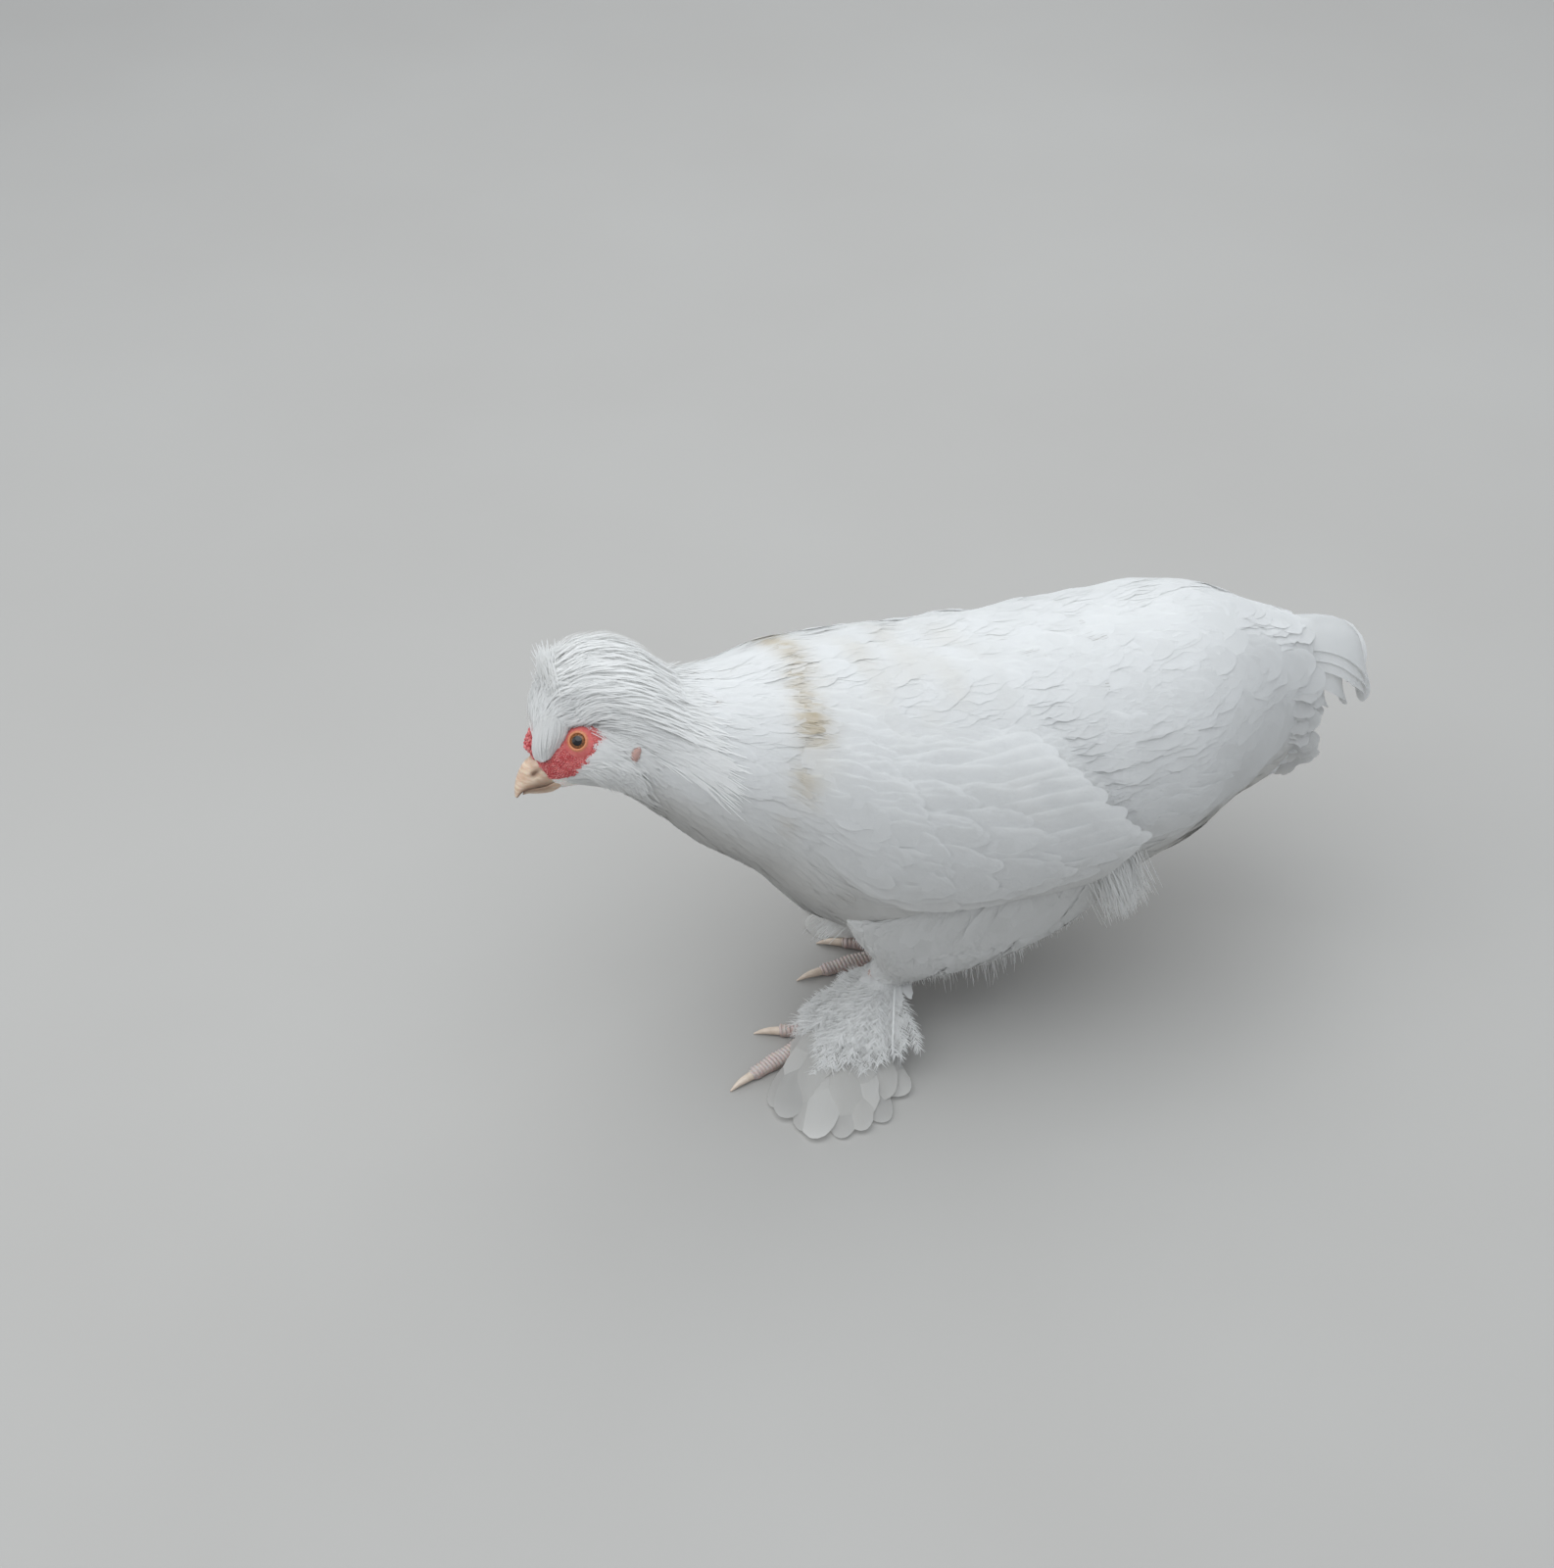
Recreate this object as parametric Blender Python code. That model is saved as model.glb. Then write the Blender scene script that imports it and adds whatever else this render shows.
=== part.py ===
"""A crested, feather-legged bantam hen, life size, walking with her head held low and forward.

Metres, +Z up. She faces -X and her left side is towards -Y. The sizes are first laid out with x and y counted
from a point on the floor midway between her feet, and the whole bird is moved onto the origin at the end.
"""
import math
import random

import bmesh
import bpy
import numpy as np
from mathutils import Matrix, Vector

# Driving sizes
GAP = 0.0003
SIDES = {"left": -1, "right": 1}
BILL_CUT = -0.129
HEAD_CUT = -0.088
NECK_CUT = -0.045
TAIL_CUT = 0.128
TAIL_CORE_END = 0.188
AROUND = 24
VANE_EDGE = 0.0005
VANE_RIDGE = 0.0008
DRAWS = random.Random(11)

# Sections of the body from the bill's root to the tail's end, where x is the section's place on the spine:
# x, height of the widest line, nod and roll (degrees), rise above that line, drop below it, half width
SPINE = (
    (-0.129, 0.151, 36, 26, 0.0090, 0.0095, 0.0075),
    (-0.121, 0.155, 31, 26, 0.0140, 0.0130, 0.0125),
    (-0.112, 0.157, 24, 26, 0.0185, 0.0170, 0.0160),
    (-0.100, 0.156, 14, 22, 0.0235, 0.0230, 0.0200),
    (-0.088, 0.152, 5, 16, 0.0290, 0.0290, 0.0250),
    (-0.074, 0.147, 0, 9, 0.0340, 0.0370, 0.0310),
    (-0.060, 0.142, 0, 3, 0.0390, 0.0440, 0.0370),
    (-0.045, 0.138, 0, 0, 0.0440, 0.0540, 0.0430),
    (-0.026, 0.130, 0, 0, 0.0530, 0.0680, 0.0510),
    (-0.008, 0.121, 0, 0, 0.0610, 0.0740, 0.0560),
    (0.012, 0.115, 0, 0, 0.0650, 0.0740, 0.0595),
    (0.036, 0.111, 0, 0, 0.0670, 0.0710, 0.0610),
    (0.060, 0.110, 0, 0, 0.0670, 0.0680, 0.0610),
    (0.085, 0.111, 0, 0, 0.0655, 0.0630, 0.0605),
    (0.105, 0.113, 0, 0, 0.0640, 0.0575, 0.0590),
    (0.128, 0.116, 0, 0, 0.0610, 0.0510, 0.0560),
    (0.145, 0.118, 0, 0, 0.0575, 0.0450, 0.0500),
    (0.160, 0.119, 0, 0, 0.0520, 0.0410, 0.0420),
    (0.175, 0.117, 0, 0, 0.0460, 0.0360, 0.0330),
    (0.190, 0.115, 0, 0, 0.0410, 0.0310, 0.0250),
    (0.205, 0.112, 0, 0, 0.0360, 0.0260, 0.0200),
    (0.220, 0.108, 0, 0, 0.0280, 0.0200, 0.0160),
)


def material(name, colour, roughness):
    made = bpy.data.materials.new(name)
    made.use_nodes = True
    shader = made.node_tree.nodes["Principled BSDF"]
    shader.inputs["Base Color"].default_value = (*colour, 1)
    shader.inputs["Roughness"].default_value = roughness
    shader.inputs["Metallic"].default_value = 0
    return made


def blend(start, end, share):
    return start + (end - start) * share


def section_at(x):
    """The body's section at x on the spine, on a smooth curve through the listed ones."""
    last = len(SPINE) - 1
    i = sum(1 for row in SPINE[1:-1] if row[0] <= x)
    before, low, high, after = (np.array(SPINE[max(0, min(last, k))]) for k in range(i - 1, i + 3))
    span = high[0] - low[0]
    f = (x - low[0]) / span
    leaving = (high - before) / (high[0] - before[0]) * span
    arriving = (after - low) / (after[0] - low[0]) * span
    row = (
        (2 * f**3 - 3 * f**2 + 1) * low
        + (f**3 - 2 * f**2 + f) * leaving
        + (3 * f**2 - 2 * f**3) * high
        + (f**3 - f**2) * arriving
    )
    row[0] = x
    return row


def axes_at(x):
    """The section's centre, and its ways forward, up and to the hen's right."""
    place, height, nod, roll = section_at(x)[:4]
    nod, roll = math.radians(nod), math.radians(roll)
    forward = Vector((-math.cos(nod), 0, -math.sin(nod)))
    upright = Vector((-math.sin(nod), 0, math.cos(nod)))
    level = Vector((0, 1, 0))
    up = upright * math.cos(roll) + level * math.sin(roll)
    right = level * math.cos(roll) - upright * math.sin(roll)
    return Vector((place, 0, height)), forward, up, right


def ring_point(x, angle, grow=0.0, ahead=0.0):
    """A point of the section at x. The angle runs from the top, and is negative on the hen's left."""
    centre, forward, up, right = axes_at(x)
    rise, drop, half = section_at(x)[4:]
    turn = math.radians(angle)
    height = math.cos(turn) * ((rise if math.cos(turn) > 0 else drop) + grow)
    return centre + up * height + right * (math.sin(turn) * (half + grow)) + forward * ahead


def skin(x, angle, lift=0.0):
    """A point over the body's surface, and the way out of the body there."""
    step = 0.001
    here = ring_point(x, angle)
    along = ring_point(x + step, angle) - ring_point(x - step, angle)
    around = ring_point(x, angle + 1) - ring_point(x, angle - 1)
    out = along.cross(around).normalized()
    if out.dot(here - axes_at(x)[0]) < 0:
        out = -out
    return here + out * lift, out


def mesh_object(name, points, faces, look=None):
    mesh = bpy.data.meshes.new(name)
    mesh.from_pydata([tuple(p) for p in points], [], faces)
    shape = bmesh.new()
    shape.from_mesh(mesh)
    bmesh.ops.recalc_face_normals(shape, faces=shape.faces)
    shape.to_mesh(mesh)
    shape.free()
    if look:
        mesh.materials.append(look)
    made = bpy.data.objects.new(name, mesh)
    bpy.context.scene.collection.objects.link(made)
    return made


def loft(name, rings, look=None):
    """A closed solid through rings of equally many points, with a flat cap at each end."""
    count = len(rings[0])
    points = [p for ring in rings for p in ring]
    faces = []
    for i in range(len(rings) - 1):
        for k in range(count):
            a, b = i * count + k, i * count + (k + 1) % count
            faces.append((a, b, b + count, a + count))
    faces.append(tuple(range(count)))
    faces.append(tuple(range(len(points) - count, len(points))))
    return mesh_object(name, points, faces, look)


def body_loft(name, start, end, steps, look=None, grow=0.0, ends=(0.0, 0.0)):
    """The stretch of the body between two places on the spine, with its ends drawn in by so much."""
    rings = []
    for i in range(steps + 1):
        ahead = {0: -ends[0], steps: ends[1]}.get(i, 0.0)
        x = blend(start, end, i / steps)
        rings.append([ring_point(x, 360 * k / AROUND, grow, ahead) for k in range(AROUND)])
    return loft(name, rings, look)


def tube(name, path, radii, look=None, sides=10, ends=(None, None), floor=None):
    """A round solid along a path. ends give the ways its end faces look, and floor flattens it from below."""
    rings = []
    across = Vector((0, 1, 0))
    for i, (centre, radius) in enumerate(zip(path, radii)):
        way = (path[min(i + 1, len(path) - 1)] - path[max(i - 1, 0)]).normalized()
        if i == 0 and ends[0]:
            way = ends[0]
        if i == len(path) - 1 and ends[1]:
            way = ends[1]
        side = (across - way * across.dot(way)).normalized()
        up = way.cross(side)
        ring = []
        for k in range(sides):
            turn = 2 * math.pi * k / sides
            point = centre + side * (math.cos(turn) * radius) + up * (math.sin(turn) * radius)
            if floor is not None:
                point.z = max(point.z, floor)
            ring.append(point)
        rings.append(ring)
    return loft(name, rings, look)


def ball(name, centre, radii, look=None, turn=None, rings=8, sides=12):
    """An ellipsoid. turn is a matrix whose columns are its axes."""
    mesh = bpy.data.meshes.new(name)
    shape = bmesh.new()
    bmesh.ops.create_uvsphere(shape, u_segments=sides, v_segments=rings, radius=1)
    axes = (turn or Matrix.Identity(3)) @ Matrix.Diagonal(Vector(radii))
    bmesh.ops.transform(shape, matrix=Matrix.Translation(centre) @ axes.to_4x4(), verts=shape.verts)
    shape.to_mesh(mesh)
    shape.free()
    if look:
        mesh.materials.append(look)
    made = bpy.data.objects.new(name, mesh)
    bpy.context.scene.collection.objects.link(made)
    return made


def vane(centres, outs, half_widths, roll=0.0, bow=0.0, edge=VANE_EDGE, ridge=VANE_RIDGE):
    """A feather as a thin closed blade with a raised midrib. outs are the ways its face looks, roll (degrees) lifts
    its right-hand edge, and bow is how much its edges bend down for each metre of width squared. With no edge its
    sides are sharp, as on a narrow lock."""
    points, faces = [], []
    turn = math.radians(roll)
    size = 6 if edge else 4
    under = {0: 5, 1: 4, 2: 3} if edge else {0: 0, 1: 3, 2: 2}
    for i, (centre, out, half) in enumerate(zip(centres, outs, half_widths)):
        way = (centres[min(i + 1, len(centres) - 1)] - centres[max(i - 1, 0)]).normalized()
        side = way.cross(out).normalized()
        out = side.cross(way)
        side, out = side * math.cos(turn) + out * math.sin(turn), out * math.cos(turn) - side * math.sin(turn)
        drop = out * (bow * half * half)
        left, right = centre - side * half - drop, centre + side * half - drop
        thin, thick = out * (edge / 2), out * (ridge / 2)
        if edge:
            points += [left + thin, centre + thick, right + thin, right - thin, centre - thick, left - thin]
        else:
            points += [left, centre + thick, right, centre - thick]
    for a in range(0, size * (len(centres) - 1), size):
        b = a + size
        for p, q in ((0, 1), (1, 2)):
            faces += [(a + p, a + q, b + q), (a + p, b + q, b + p)]
            p, q = under[p], under[q]
            faces += [(a + p, b + q, a + q), (a + p, b + p, b + q)]
        for p, q in ((2, 3), (5, 0)) if edge else ():
            faces += [(a + p, a + q, b + q), (a + p, b + q, b + p)]
    for end in (0, size * (len(centres) - 1)):
        for p, q in ((0, 1), (1, 2)):
            faces.append(tuple(dict.fromkeys((end + p, end + q, end + under[q], end + under[p]))))
    return mesh_object("vane", points, faces)


def feather_widths(half, steps, tip=0.35, root=0.45):
    """Half widths along a feather that is narrow at its root, widest past its middle and rounded at its tip."""
    widths = []
    for i in range(steps + 1):
        f = i / steps
        swell = blend(root, 1.0, min(1.0, f / 0.55))
        close = 1.0 if f < 0.7 else math.sqrt(max(0.0, 1 - ((f - 0.7) / 0.3) ** 2 * (1 - tip**2)))
        widths.append(half * swell * close)
    return widths


def laid_vane(root, tip, lifts, half, roll=0.0, steps=3, bow=7.0):
    """A feather that lies on the body from one (x, angle) to another, rising over its surface as lifts say."""
    centres, outs = [], []
    for i in range(steps + 1):
        f = i / steps
        place, out = skin(blend(root[0], tip[0], f), blend(root[1], tip[1], f), blend(*lifts, f))
        centres.append(place)
        outs.append(out)
    return vane(centres, outs, feather_widths(half, steps), roll, bow)


def fuse(core, pieces):
    """Joins the pieces to the core, and keeps the largest closed surface that this leaves."""
    group = bpy.data.collections.new(core.name + "_pieces")
    bpy.context.scene.collection.children.link(group)
    for piece in pieces:
        bpy.context.scene.collection.objects.unlink(piece)
        group.objects.link(piece)
    boolean(core, "UNION", group)
    for piece in pieces:
        bpy.data.objects.remove(piece)
    bpy.data.collections.remove(group)
    keep_largest(core)
    return core


def cut(target, *cutters):
    """Takes the cutters away from the target, and keeps the largest closed surface that this leaves."""
    for cutter in cutters:
        group = bpy.data.collections.new(target.name + "_cutters")
        bpy.context.scene.collection.children.link(group)
        group.objects.link(cutter)
        boolean(target, "DIFFERENCE", group)
        bpy.data.collections.remove(group)
    keep_largest(target)
    return target


def boolean(target, operation, group):
    step = target.modifiers.new(operation.lower(), "BOOLEAN")
    step.operation = operation
    step.operand_type = "COLLECTION"
    step.collection = group
    step.solver = "MANIFOLD"
    bpy.context.view_layer.update()
    graph = bpy.context.evaluated_depsgraph_get()
    mesh = bpy.data.meshes.new_from_object(target.evaluated_get(graph))
    target.modifiers.clear()
    target.data = mesh


def keep_largest(target):
    shape = bmesh.new()
    shape.from_mesh(target.data)
    left, bodies = set(shape.faces), []
    while left:
        found, edge = set(), [left.pop()]
        while edge:
            face = edge.pop()
            found.add(face)
            for other in {f for side in face.edges for f in side.link_faces} & left:
                left.remove(other)
                edge.append(other)
        bodies.append(found)
    largest = max(bodies, key=lambda body: sum(face.calc_area() for face in body))
    bmesh.ops.delete(shape, geom=[f for body in bodies if body is not largest for f in body], context="FACES")
    shape.to_mesh(target.data)
    shape.free()


for old in list(bpy.data.objects):
    bpy.data.objects.remove(old)

PLUMAGE = material("white_plumage", (0.86, 0.85, 0.80), 0.8)
FLIGHT = material("white_quills", (0.88, 0.88, 0.86), 0.6)
HORN = material("bill_horn", (0.78, 0.56, 0.40), 0.35)
RED_SKIN = material("red_skin", (0.62, 0.10, 0.10), 0.5)
TOE_SKIN = material("pink_toe_skin", (0.72, 0.52, 0.45), 0.6)
EYE = material("amber_eye", (0.30, 0.13, 0.04), 0.1)
LOBE = material("pale_lobe", (0.78, 0.60, 0.56), 0.6)

# Body
torso = body_loft("torso", NECK_CUT, TAIL_CUT, 12, PLUMAGE)
neck = body_loft("neck", HEAD_CUT, NECK_CUT, 6, PLUMAGE, ends=(GAP, GAP))


# Head, with lids round each eye and a pale lobe behind it
EYE_X, EYE_ANGLE, EYE_RADIUS, EYE_SINK = -0.1125, 64, 0.0046, 0.0016
LOBE_X, LOBE_ANGLE = -0.0985, 98


def eye_place(side, lift=0.0):
    return skin(EYE_X, side * EYE_ANGLE, lift - EYE_SINK)


def lid(side):
    """A ring of lid that stands a little proud of the head."""
    centre, out = eye_place(side, 0.0012)
    frame = out.to_track_quat("Z", "Y").to_matrix().to_4x4()
    mesh = bpy.data.meshes.new("lid")
    shape = bmesh.new()
    bmesh.ops.create_cone(shape, cap_ends=True, segments=16, radius1=0.0066, radius2=0.0046, depth=0.0036)
    bmesh.ops.transform(shape, matrix=Matrix.Translation(centre) @ frame, verts=shape.verts)
    shape.to_mesh(mesh)
    shape.free()
    made = bpy.data.objects.new("lid", mesh)
    bpy.context.scene.collection.objects.link(made)
    return made


def ear_lobe(side):
    centre, out = skin(LOBE_X, side * LOBE_ANGLE, 0.0002)
    frame = out.to_track_quat("Z", "Y").to_matrix()
    return ball("lobe", centre, (0.0035, 0.0045, 0.0016), turn=frame)


def muff(side):
    """Short feathers that sweep back over the cheek."""
    made = []
    for start, reach, lift in ((-0.1075, 0.0135, 0.0026), (-0.1010, 0.0150, 0.0016)):
        for k in range(3):
            angle = side * blend(98, 138, (k + (0.5 if lift < 0.002 else 0)) / 2.5)
            ends = (start, angle), (start + reach, angle * 1.03)
            made.append(laid_vane(*ends, (-0.0012, lift), 0.0042, steps=2))
    return made


head = body_loft("head", BILL_CUT, HEAD_CUT, 8, PLUMAGE, ends=(GAP, GAP))
head_additions = [piece for side in SIDES.values() for piece in (lid(side), ear_lobe(side), *muff(side))]
fuse(head, head_additions)
for word, side in SIDES.items():
    socket = ball("socket", eye_place(side)[0], (EYE_RADIUS + GAP,) * 3, rings=8, sides=12)
    cut(head, socket)
    bpy.data.objects.remove(socket)
    ball("eye_" + word, eye_place(side)[0], (EYE_RADIUS,) * 3, EYE, rings=8, sides=12)


# Bill: two horn halves that meet along the line of the mouth. Each section gives how far ahead of the head's cut
# and how far above its widest line the ridge, the mouth line and the keel run, and the half width of the bill
BILL = (
    ((0.0000, 0.0089), (0.0000, -0.0049), (0.0000, -0.0088), 0.0066),
    ((0.0056, 0.0084), (0.0048, -0.0032), (0.0046, -0.0074), 0.0051),
    ((0.0108, 0.0060), (0.0095, -0.0011), (0.0088, -0.0049), 0.0037),
    ((0.0146, 0.0030), (0.0130, -0.0003), (0.0116, -0.0026), 0.0024),
    ((0.0170, 0.0000), (0.0166, -0.0010), (0.0136, -0.0016), 0.0008),
)


def bill_half(name, upper):
    root, forward, up, right = axes_at(BILL_CUT)
    rings = []
    for ridge, mouth, keel, half in BILL:
        far, apart = (ridge, GAP / 2) if upper else (keel, -GAP / 2)
        near = Vector(mouth) if upper else Vector((min(mouth[0], keel[0] + 0.0004), mouth[1]))
        ring = []
        for k in range(9):
            turn = math.pi * k / 8
            ahead, height = near.lerp(Vector(far), math.sin(turn) ** 0.8)
            place = root + forward * (GAP + ahead) + up * (height + apart)
            ring.append(place + right * (math.cos(turn) * half))
        rings.append(ring)
    return loft(name, rings, HORN)


beak_upper = bill_half("beak_upper", True)
beak_lower = bill_half("beak_lower", False)
for side in SIDES.values():
    root, forward, up, right = axes_at(BILL_CUT)
    hole = ball("nostril", root + forward * 0.0040 + up * 0.0030 + right * (side * 0.0050), (0.0016, 0.0012, 0.0010))
    cut(beak_upper, hole)
    bpy.data.objects.remove(hole)


# Comb: three low rows of beads up the forehead
def comb(name, grow=0.0):
    beads = []
    for row in (-1, 0, 1):
        count = 4 if row == 0 else 3
        for k in range(count):
            x = blend(-0.1266, -0.1226, (k + (0.0 if row == 0 else 0.5)) / 3)
            centre, out = skin(x, row * 24, 0.0018 if row == 0 else 0.0008)
            radius = (0.0027 if row == 0 else 0.0021) + grow
            beads.append(ball("bead", centre, (radius, radius, radius * 1.1), rings=5, sides=7))
    core = beads.pop(5)
    core.name = name
    core.data.materials.append(RED_SKIN)
    return fuse(core, beads)


clear_head = body_loft("clear_head", BILL_CUT, HEAD_CUT, 8, grow=GAP, ends=(-GAP, -GAP))
cut(comb("comb"), clear_head)


# Crest: a low cap on the crown, and tapered feathers that rise from it and sweep back
def patch(name, xs, angles, lift, sink, look):
    """A swelling over the body, thickest in its middle, between two places and two angles."""
    rows, columns = 7, 9
    top, bottom = [], []
    for i in range(rows):
        for k in range(columns):
            f, g = i / (rows - 1), k / (columns - 1)
            rise = (math.sin(math.pi * f) * math.sin(math.pi * g)) ** 0.5
            x, angle = blend(*xs, f), blend(*angles, g)
            top.append(skin(x, angle, blend(0.0012, lift, rise))[0])
            bottom.append(skin(x, angle, -sink)[0])
    faces = []
    below = rows * columns
    for i in range(rows - 1):
        for k in range(columns - 1):
            a = i * columns + k
            faces.append((a, a + 1, a + 1 + columns, a + columns))
            faces.append(tuple(below + n for n in (a, a + columns, a + 1 + columns, a + 1)))
    rim = [k for k in range(columns)]
    rim += [i * columns + columns - 1 for i in range(1, rows)]
    rim += [(rows - 1) * columns + k for k in range(columns - 2, -1, -1)]
    rim += [i * columns for i in range(rows - 2, 0, -1)]
    for a, b in zip(rim, rim[1:] + rim[:1]):
        faces.append((a, a + below, b + below, b))
    return mesh_object(name, top + bottom, faces, look)


CREST_ROWS = (
    # x of the roots, feather length, how far it leans back at its root and at its tip (degrees), how many
    (-0.1215, 0.033, 2, 8, 5),
    (-0.1180, 0.036, 10, 26, 5),
    (-0.1130, 0.036, 20, 46, 5),
    (-0.1070, 0.034, 34, 64, 5),
    (-0.1000, 0.029, 50, 78, 5),
)
CREST_SPREAD = 36
BROWS = (((-0.1175, 18), (-0.1264, 34)), ((-0.1175, 24), (-0.1252, 40)))


def crest_feather(x, angle, length, leans):
    """Rises from the crown, leans sideways with its place there, and bends back towards its tip."""
    _, _, up, right = axes_at(x)
    back = Vector((1, 0, 0))
    sideways = math.radians(angle * 0.8)
    rise = Vector((0, up.y, up.z)).normalized() * math.cos(sideways) + right * math.sin(sideways)
    steps = 3
    place = skin(x, angle, -0.001)[0]
    centres, outs = [place], []
    for i in range(steps + 1):
        lean = math.radians(blend(*leans, i / steps))
        outs.append(rise * math.sin(lean) - back * math.cos(lean))
        if i < steps:
            place = place + (rise * math.cos(lean) + back * math.sin(lean)) * (length / steps)
            centres.append(place)
    return vane(centres, outs, [0.0032, 0.0046, 0.0040, 0.0008], bow=20, edge=0, ridge=0.0014)


def crest():
    core = patch("crest", (-0.1235, -0.0950), (-42, 42), 0.018, 0.002, PLUMAGE)
    feathers = []
    for x, length, *leans, count in CREST_ROWS:
        for k in range(count):
            angle = CREST_SPREAD * (2 * k / (count - 1) - 1) * DRAWS.uniform(0.92, 1.05)
            shorter = 1 - 0.25 * abs(angle) / CREST_SPREAD
            feathers.append(crest_feather(x, angle, length * shorter * DRAWS.uniform(0.92, 1.08), leans))
    for side in SIDES.values():
        for (x0, angle0), (x1, angle1) in BROWS:
            feathers.append(laid_vane((x0, side * angle0), (x1, side * angle1), (0.0024, 0.0012), 0.0030))
    return fuse(core, feathers)


clear_neck = body_loft("clear_neck", HEAD_CUT, NECK_CUT, 6, grow=GAP, ends=(GAP, 0.0))
clear_comb = comb("clear_comb", GAP)
cut(crest(), clear_head, clear_neck, clear_comb)


# Wings: a flat arm against the side, with quills in two tiers and coverts in three over them
WING_TIERS = (
    # how many, first and last root (x, angle), first and last tip (x, angle), lifts, half width
    (4, (0.016, 98), (0.026, 106), (0.103, 99), (0.082, 112), (0.0002, 0.0012), 0.0070),
    (6, (-0.002, 46), (0.026, 92), (0.052, 38), (0.104, 92), (0.0014, 0.0028), 0.0104),
    (5, (-0.016, 48), (0.004, 96), (0.020, 40), (0.056, 98), (0.0022, 0.0044), 0.0112),
    (4, (-0.034, 54), (-0.020, 94), (-0.006, 44), (0.022, 97), (-0.0006, 0.0056), 0.0120),
)
WING_ROLL = 6


def wing(word, side):
    core = wing_core("wing_" + word, side)
    feathers = []
    for count, root0, root1, tip0, tip1, lifts, half in WING_TIERS:
        for k in range(count):
            f = k / (count - 1)
            root = (blend(root0[0], root1[0], f), side * blend(root0[1], root1[1], f))
            tip = (blend(tip0[0], tip1[0], f), side * blend(tip0[1], tip1[1], f))
            feathers.append(laid_vane(root, tip, lifts, half, roll=side * WING_ROLL))
    return fuse(core, feathers)


def wing_core(name, side):
    return patch(name, (-0.038, 0.064), (side * 34, side * 109), 0.0036, 0.002, FLIGHT)


clear_torso = body_loft("clear_torso", NECK_CUT, TAIL_CUT, 12, grow=GAP, ends=(-GAP, -GAP))
for word, side in SIDES.items():
    cut(wing(word, side), clear_torso)


# Tail: the full cushion behind the back, three tiers of coverts on it and seven pairs of arched quills
COVERT_TIERS = (
    # root x, tip x, lifts, how many, widest angle, half width
    (0.162, 0.206, (-0.0012, 0.0008), 5, 70, 0.0120),
    (0.148, 0.190, (-0.0012, 0.0022), 5, 84, 0.0150),
    (0.134, 0.174, (-0.0012, 0.0034), 6, 92, 0.0170),
)
COVERT_ROLL = 6
QUILL_TIPS = ((0.230, 0.108), (0.226, 0.111), (0.209, 0.115), (0.202, 0.109), (0.192, 0.103), (0.182, 0.097))
QUILL_HALF = 0.0088


def tail_quill(k, side):
    """The quill of the pair k counted from the top: a vane that leans like one side of a roof and arches down."""
    x, z = QUILL_TIPS[k]
    lean = math.radians(50 + 5 * k)
    out_by = 0.0008 + QUILL_HALF * math.cos(lean)
    root = Vector((0.166, side * (out_by + 0.0026 * k), 0.150 - 0.0060 * k))
    over = Vector((x + 0.005 - 0.0012 * k, side * (out_by + 0.0046 * k), 0.164 - 0.0116 * k))
    tip = Vector((x, side * (out_by * 0.7 + 0.0050 * k), z))
    ridge_side = Vector((0, side * math.cos(lean), -math.sin(lean)))
    steps = 4
    centres, outs = [], []
    for i in range(steps + 1):
        t = i / steps
        centres.append(root * (1 - t) ** 2 + over * (2 * t * (1 - t)) + tip * t**2)
        way = ((over - root) * (1 - t) + (tip - over) * t).normalized()
        outs.append((ridge_side - way * way.dot(ridge_side)).cross(way) * -side)
    return vane(centres, outs, feather_widths(QUILL_HALF, steps, tip=0.4, root=0.5), bow=8)


def tail():
    core = body_loft("tail", TAIL_CUT, TAIL_CORE_END, 5, PLUMAGE, ends=(GAP, 0.0))
    feathers = [tail_quill(k, side) for k in range(len(QUILL_TIPS)) for side in SIDES.values()]
    for root, tip, lifts, count, widest, half in COVERT_TIERS:
        for k in range(count):
            angle = widest * (2 * k / (count - 1) - 1)
            roll = COVERT_ROLL * np.sign(round(angle))
            raised = 0.0010 if roll == 0 else 0.0
            ends = (root, angle), (tip, angle * 0.97)
            feathers.append(laid_vane(*ends, (lifts[0], lifts[1] + raised), half, roll))
    return fuse(core, feathers)


tail()


# Legs: full feathered thighs, and below the hock a foot with four toes, claws and a boot of long feathers
LEGS = {
    # foot's centre, hock, way of the middle toe out from straight ahead (degrees)
    "left": (Vector((-0.020, -0.026, 0.010)), Vector((0.009, -0.0265, 0.031)), 22),
    "right": (Vector((0.032, 0.014, 0.010)), Vector((0.037, 0.018, 0.030)), -3),
}
THIGH = (
    # height, middle and half of the length, middle and half of the width
    (0.092, 0.044, 0.056, 0.029, 0.0170),
    (0.076, 0.038, 0.069, 0.032, 0.0190),
    (0.062, 0.038, 0.062, 0.034, 0.0190),
    (0.051, 0.037, 0.052, 0.034, 0.0170),
    (0.043, 0.031, 0.039, 0.033, 0.0150),
    (0.037, 0.022, 0.025, 0.030, 0.0125),
)
HOCK_RADIUS = 0.0095
TOES = (
    # name, angle from the middle toe towards the inside, length to the claw's root, radius
    ("2", 42, 0.021, 0.0031),
    ("3", 0, 0.043, 0.0034),
    ("4", -29, 0.031, 0.0030),
    ("1", 172, 0.014, 0.0027),
)
CLAW = 0.0100
CLAW_SHAPE = ((0.0, 0.0019), (0.35, 0.0016), (0.7, 0.0010), (1.0, 0.0003))
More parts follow.
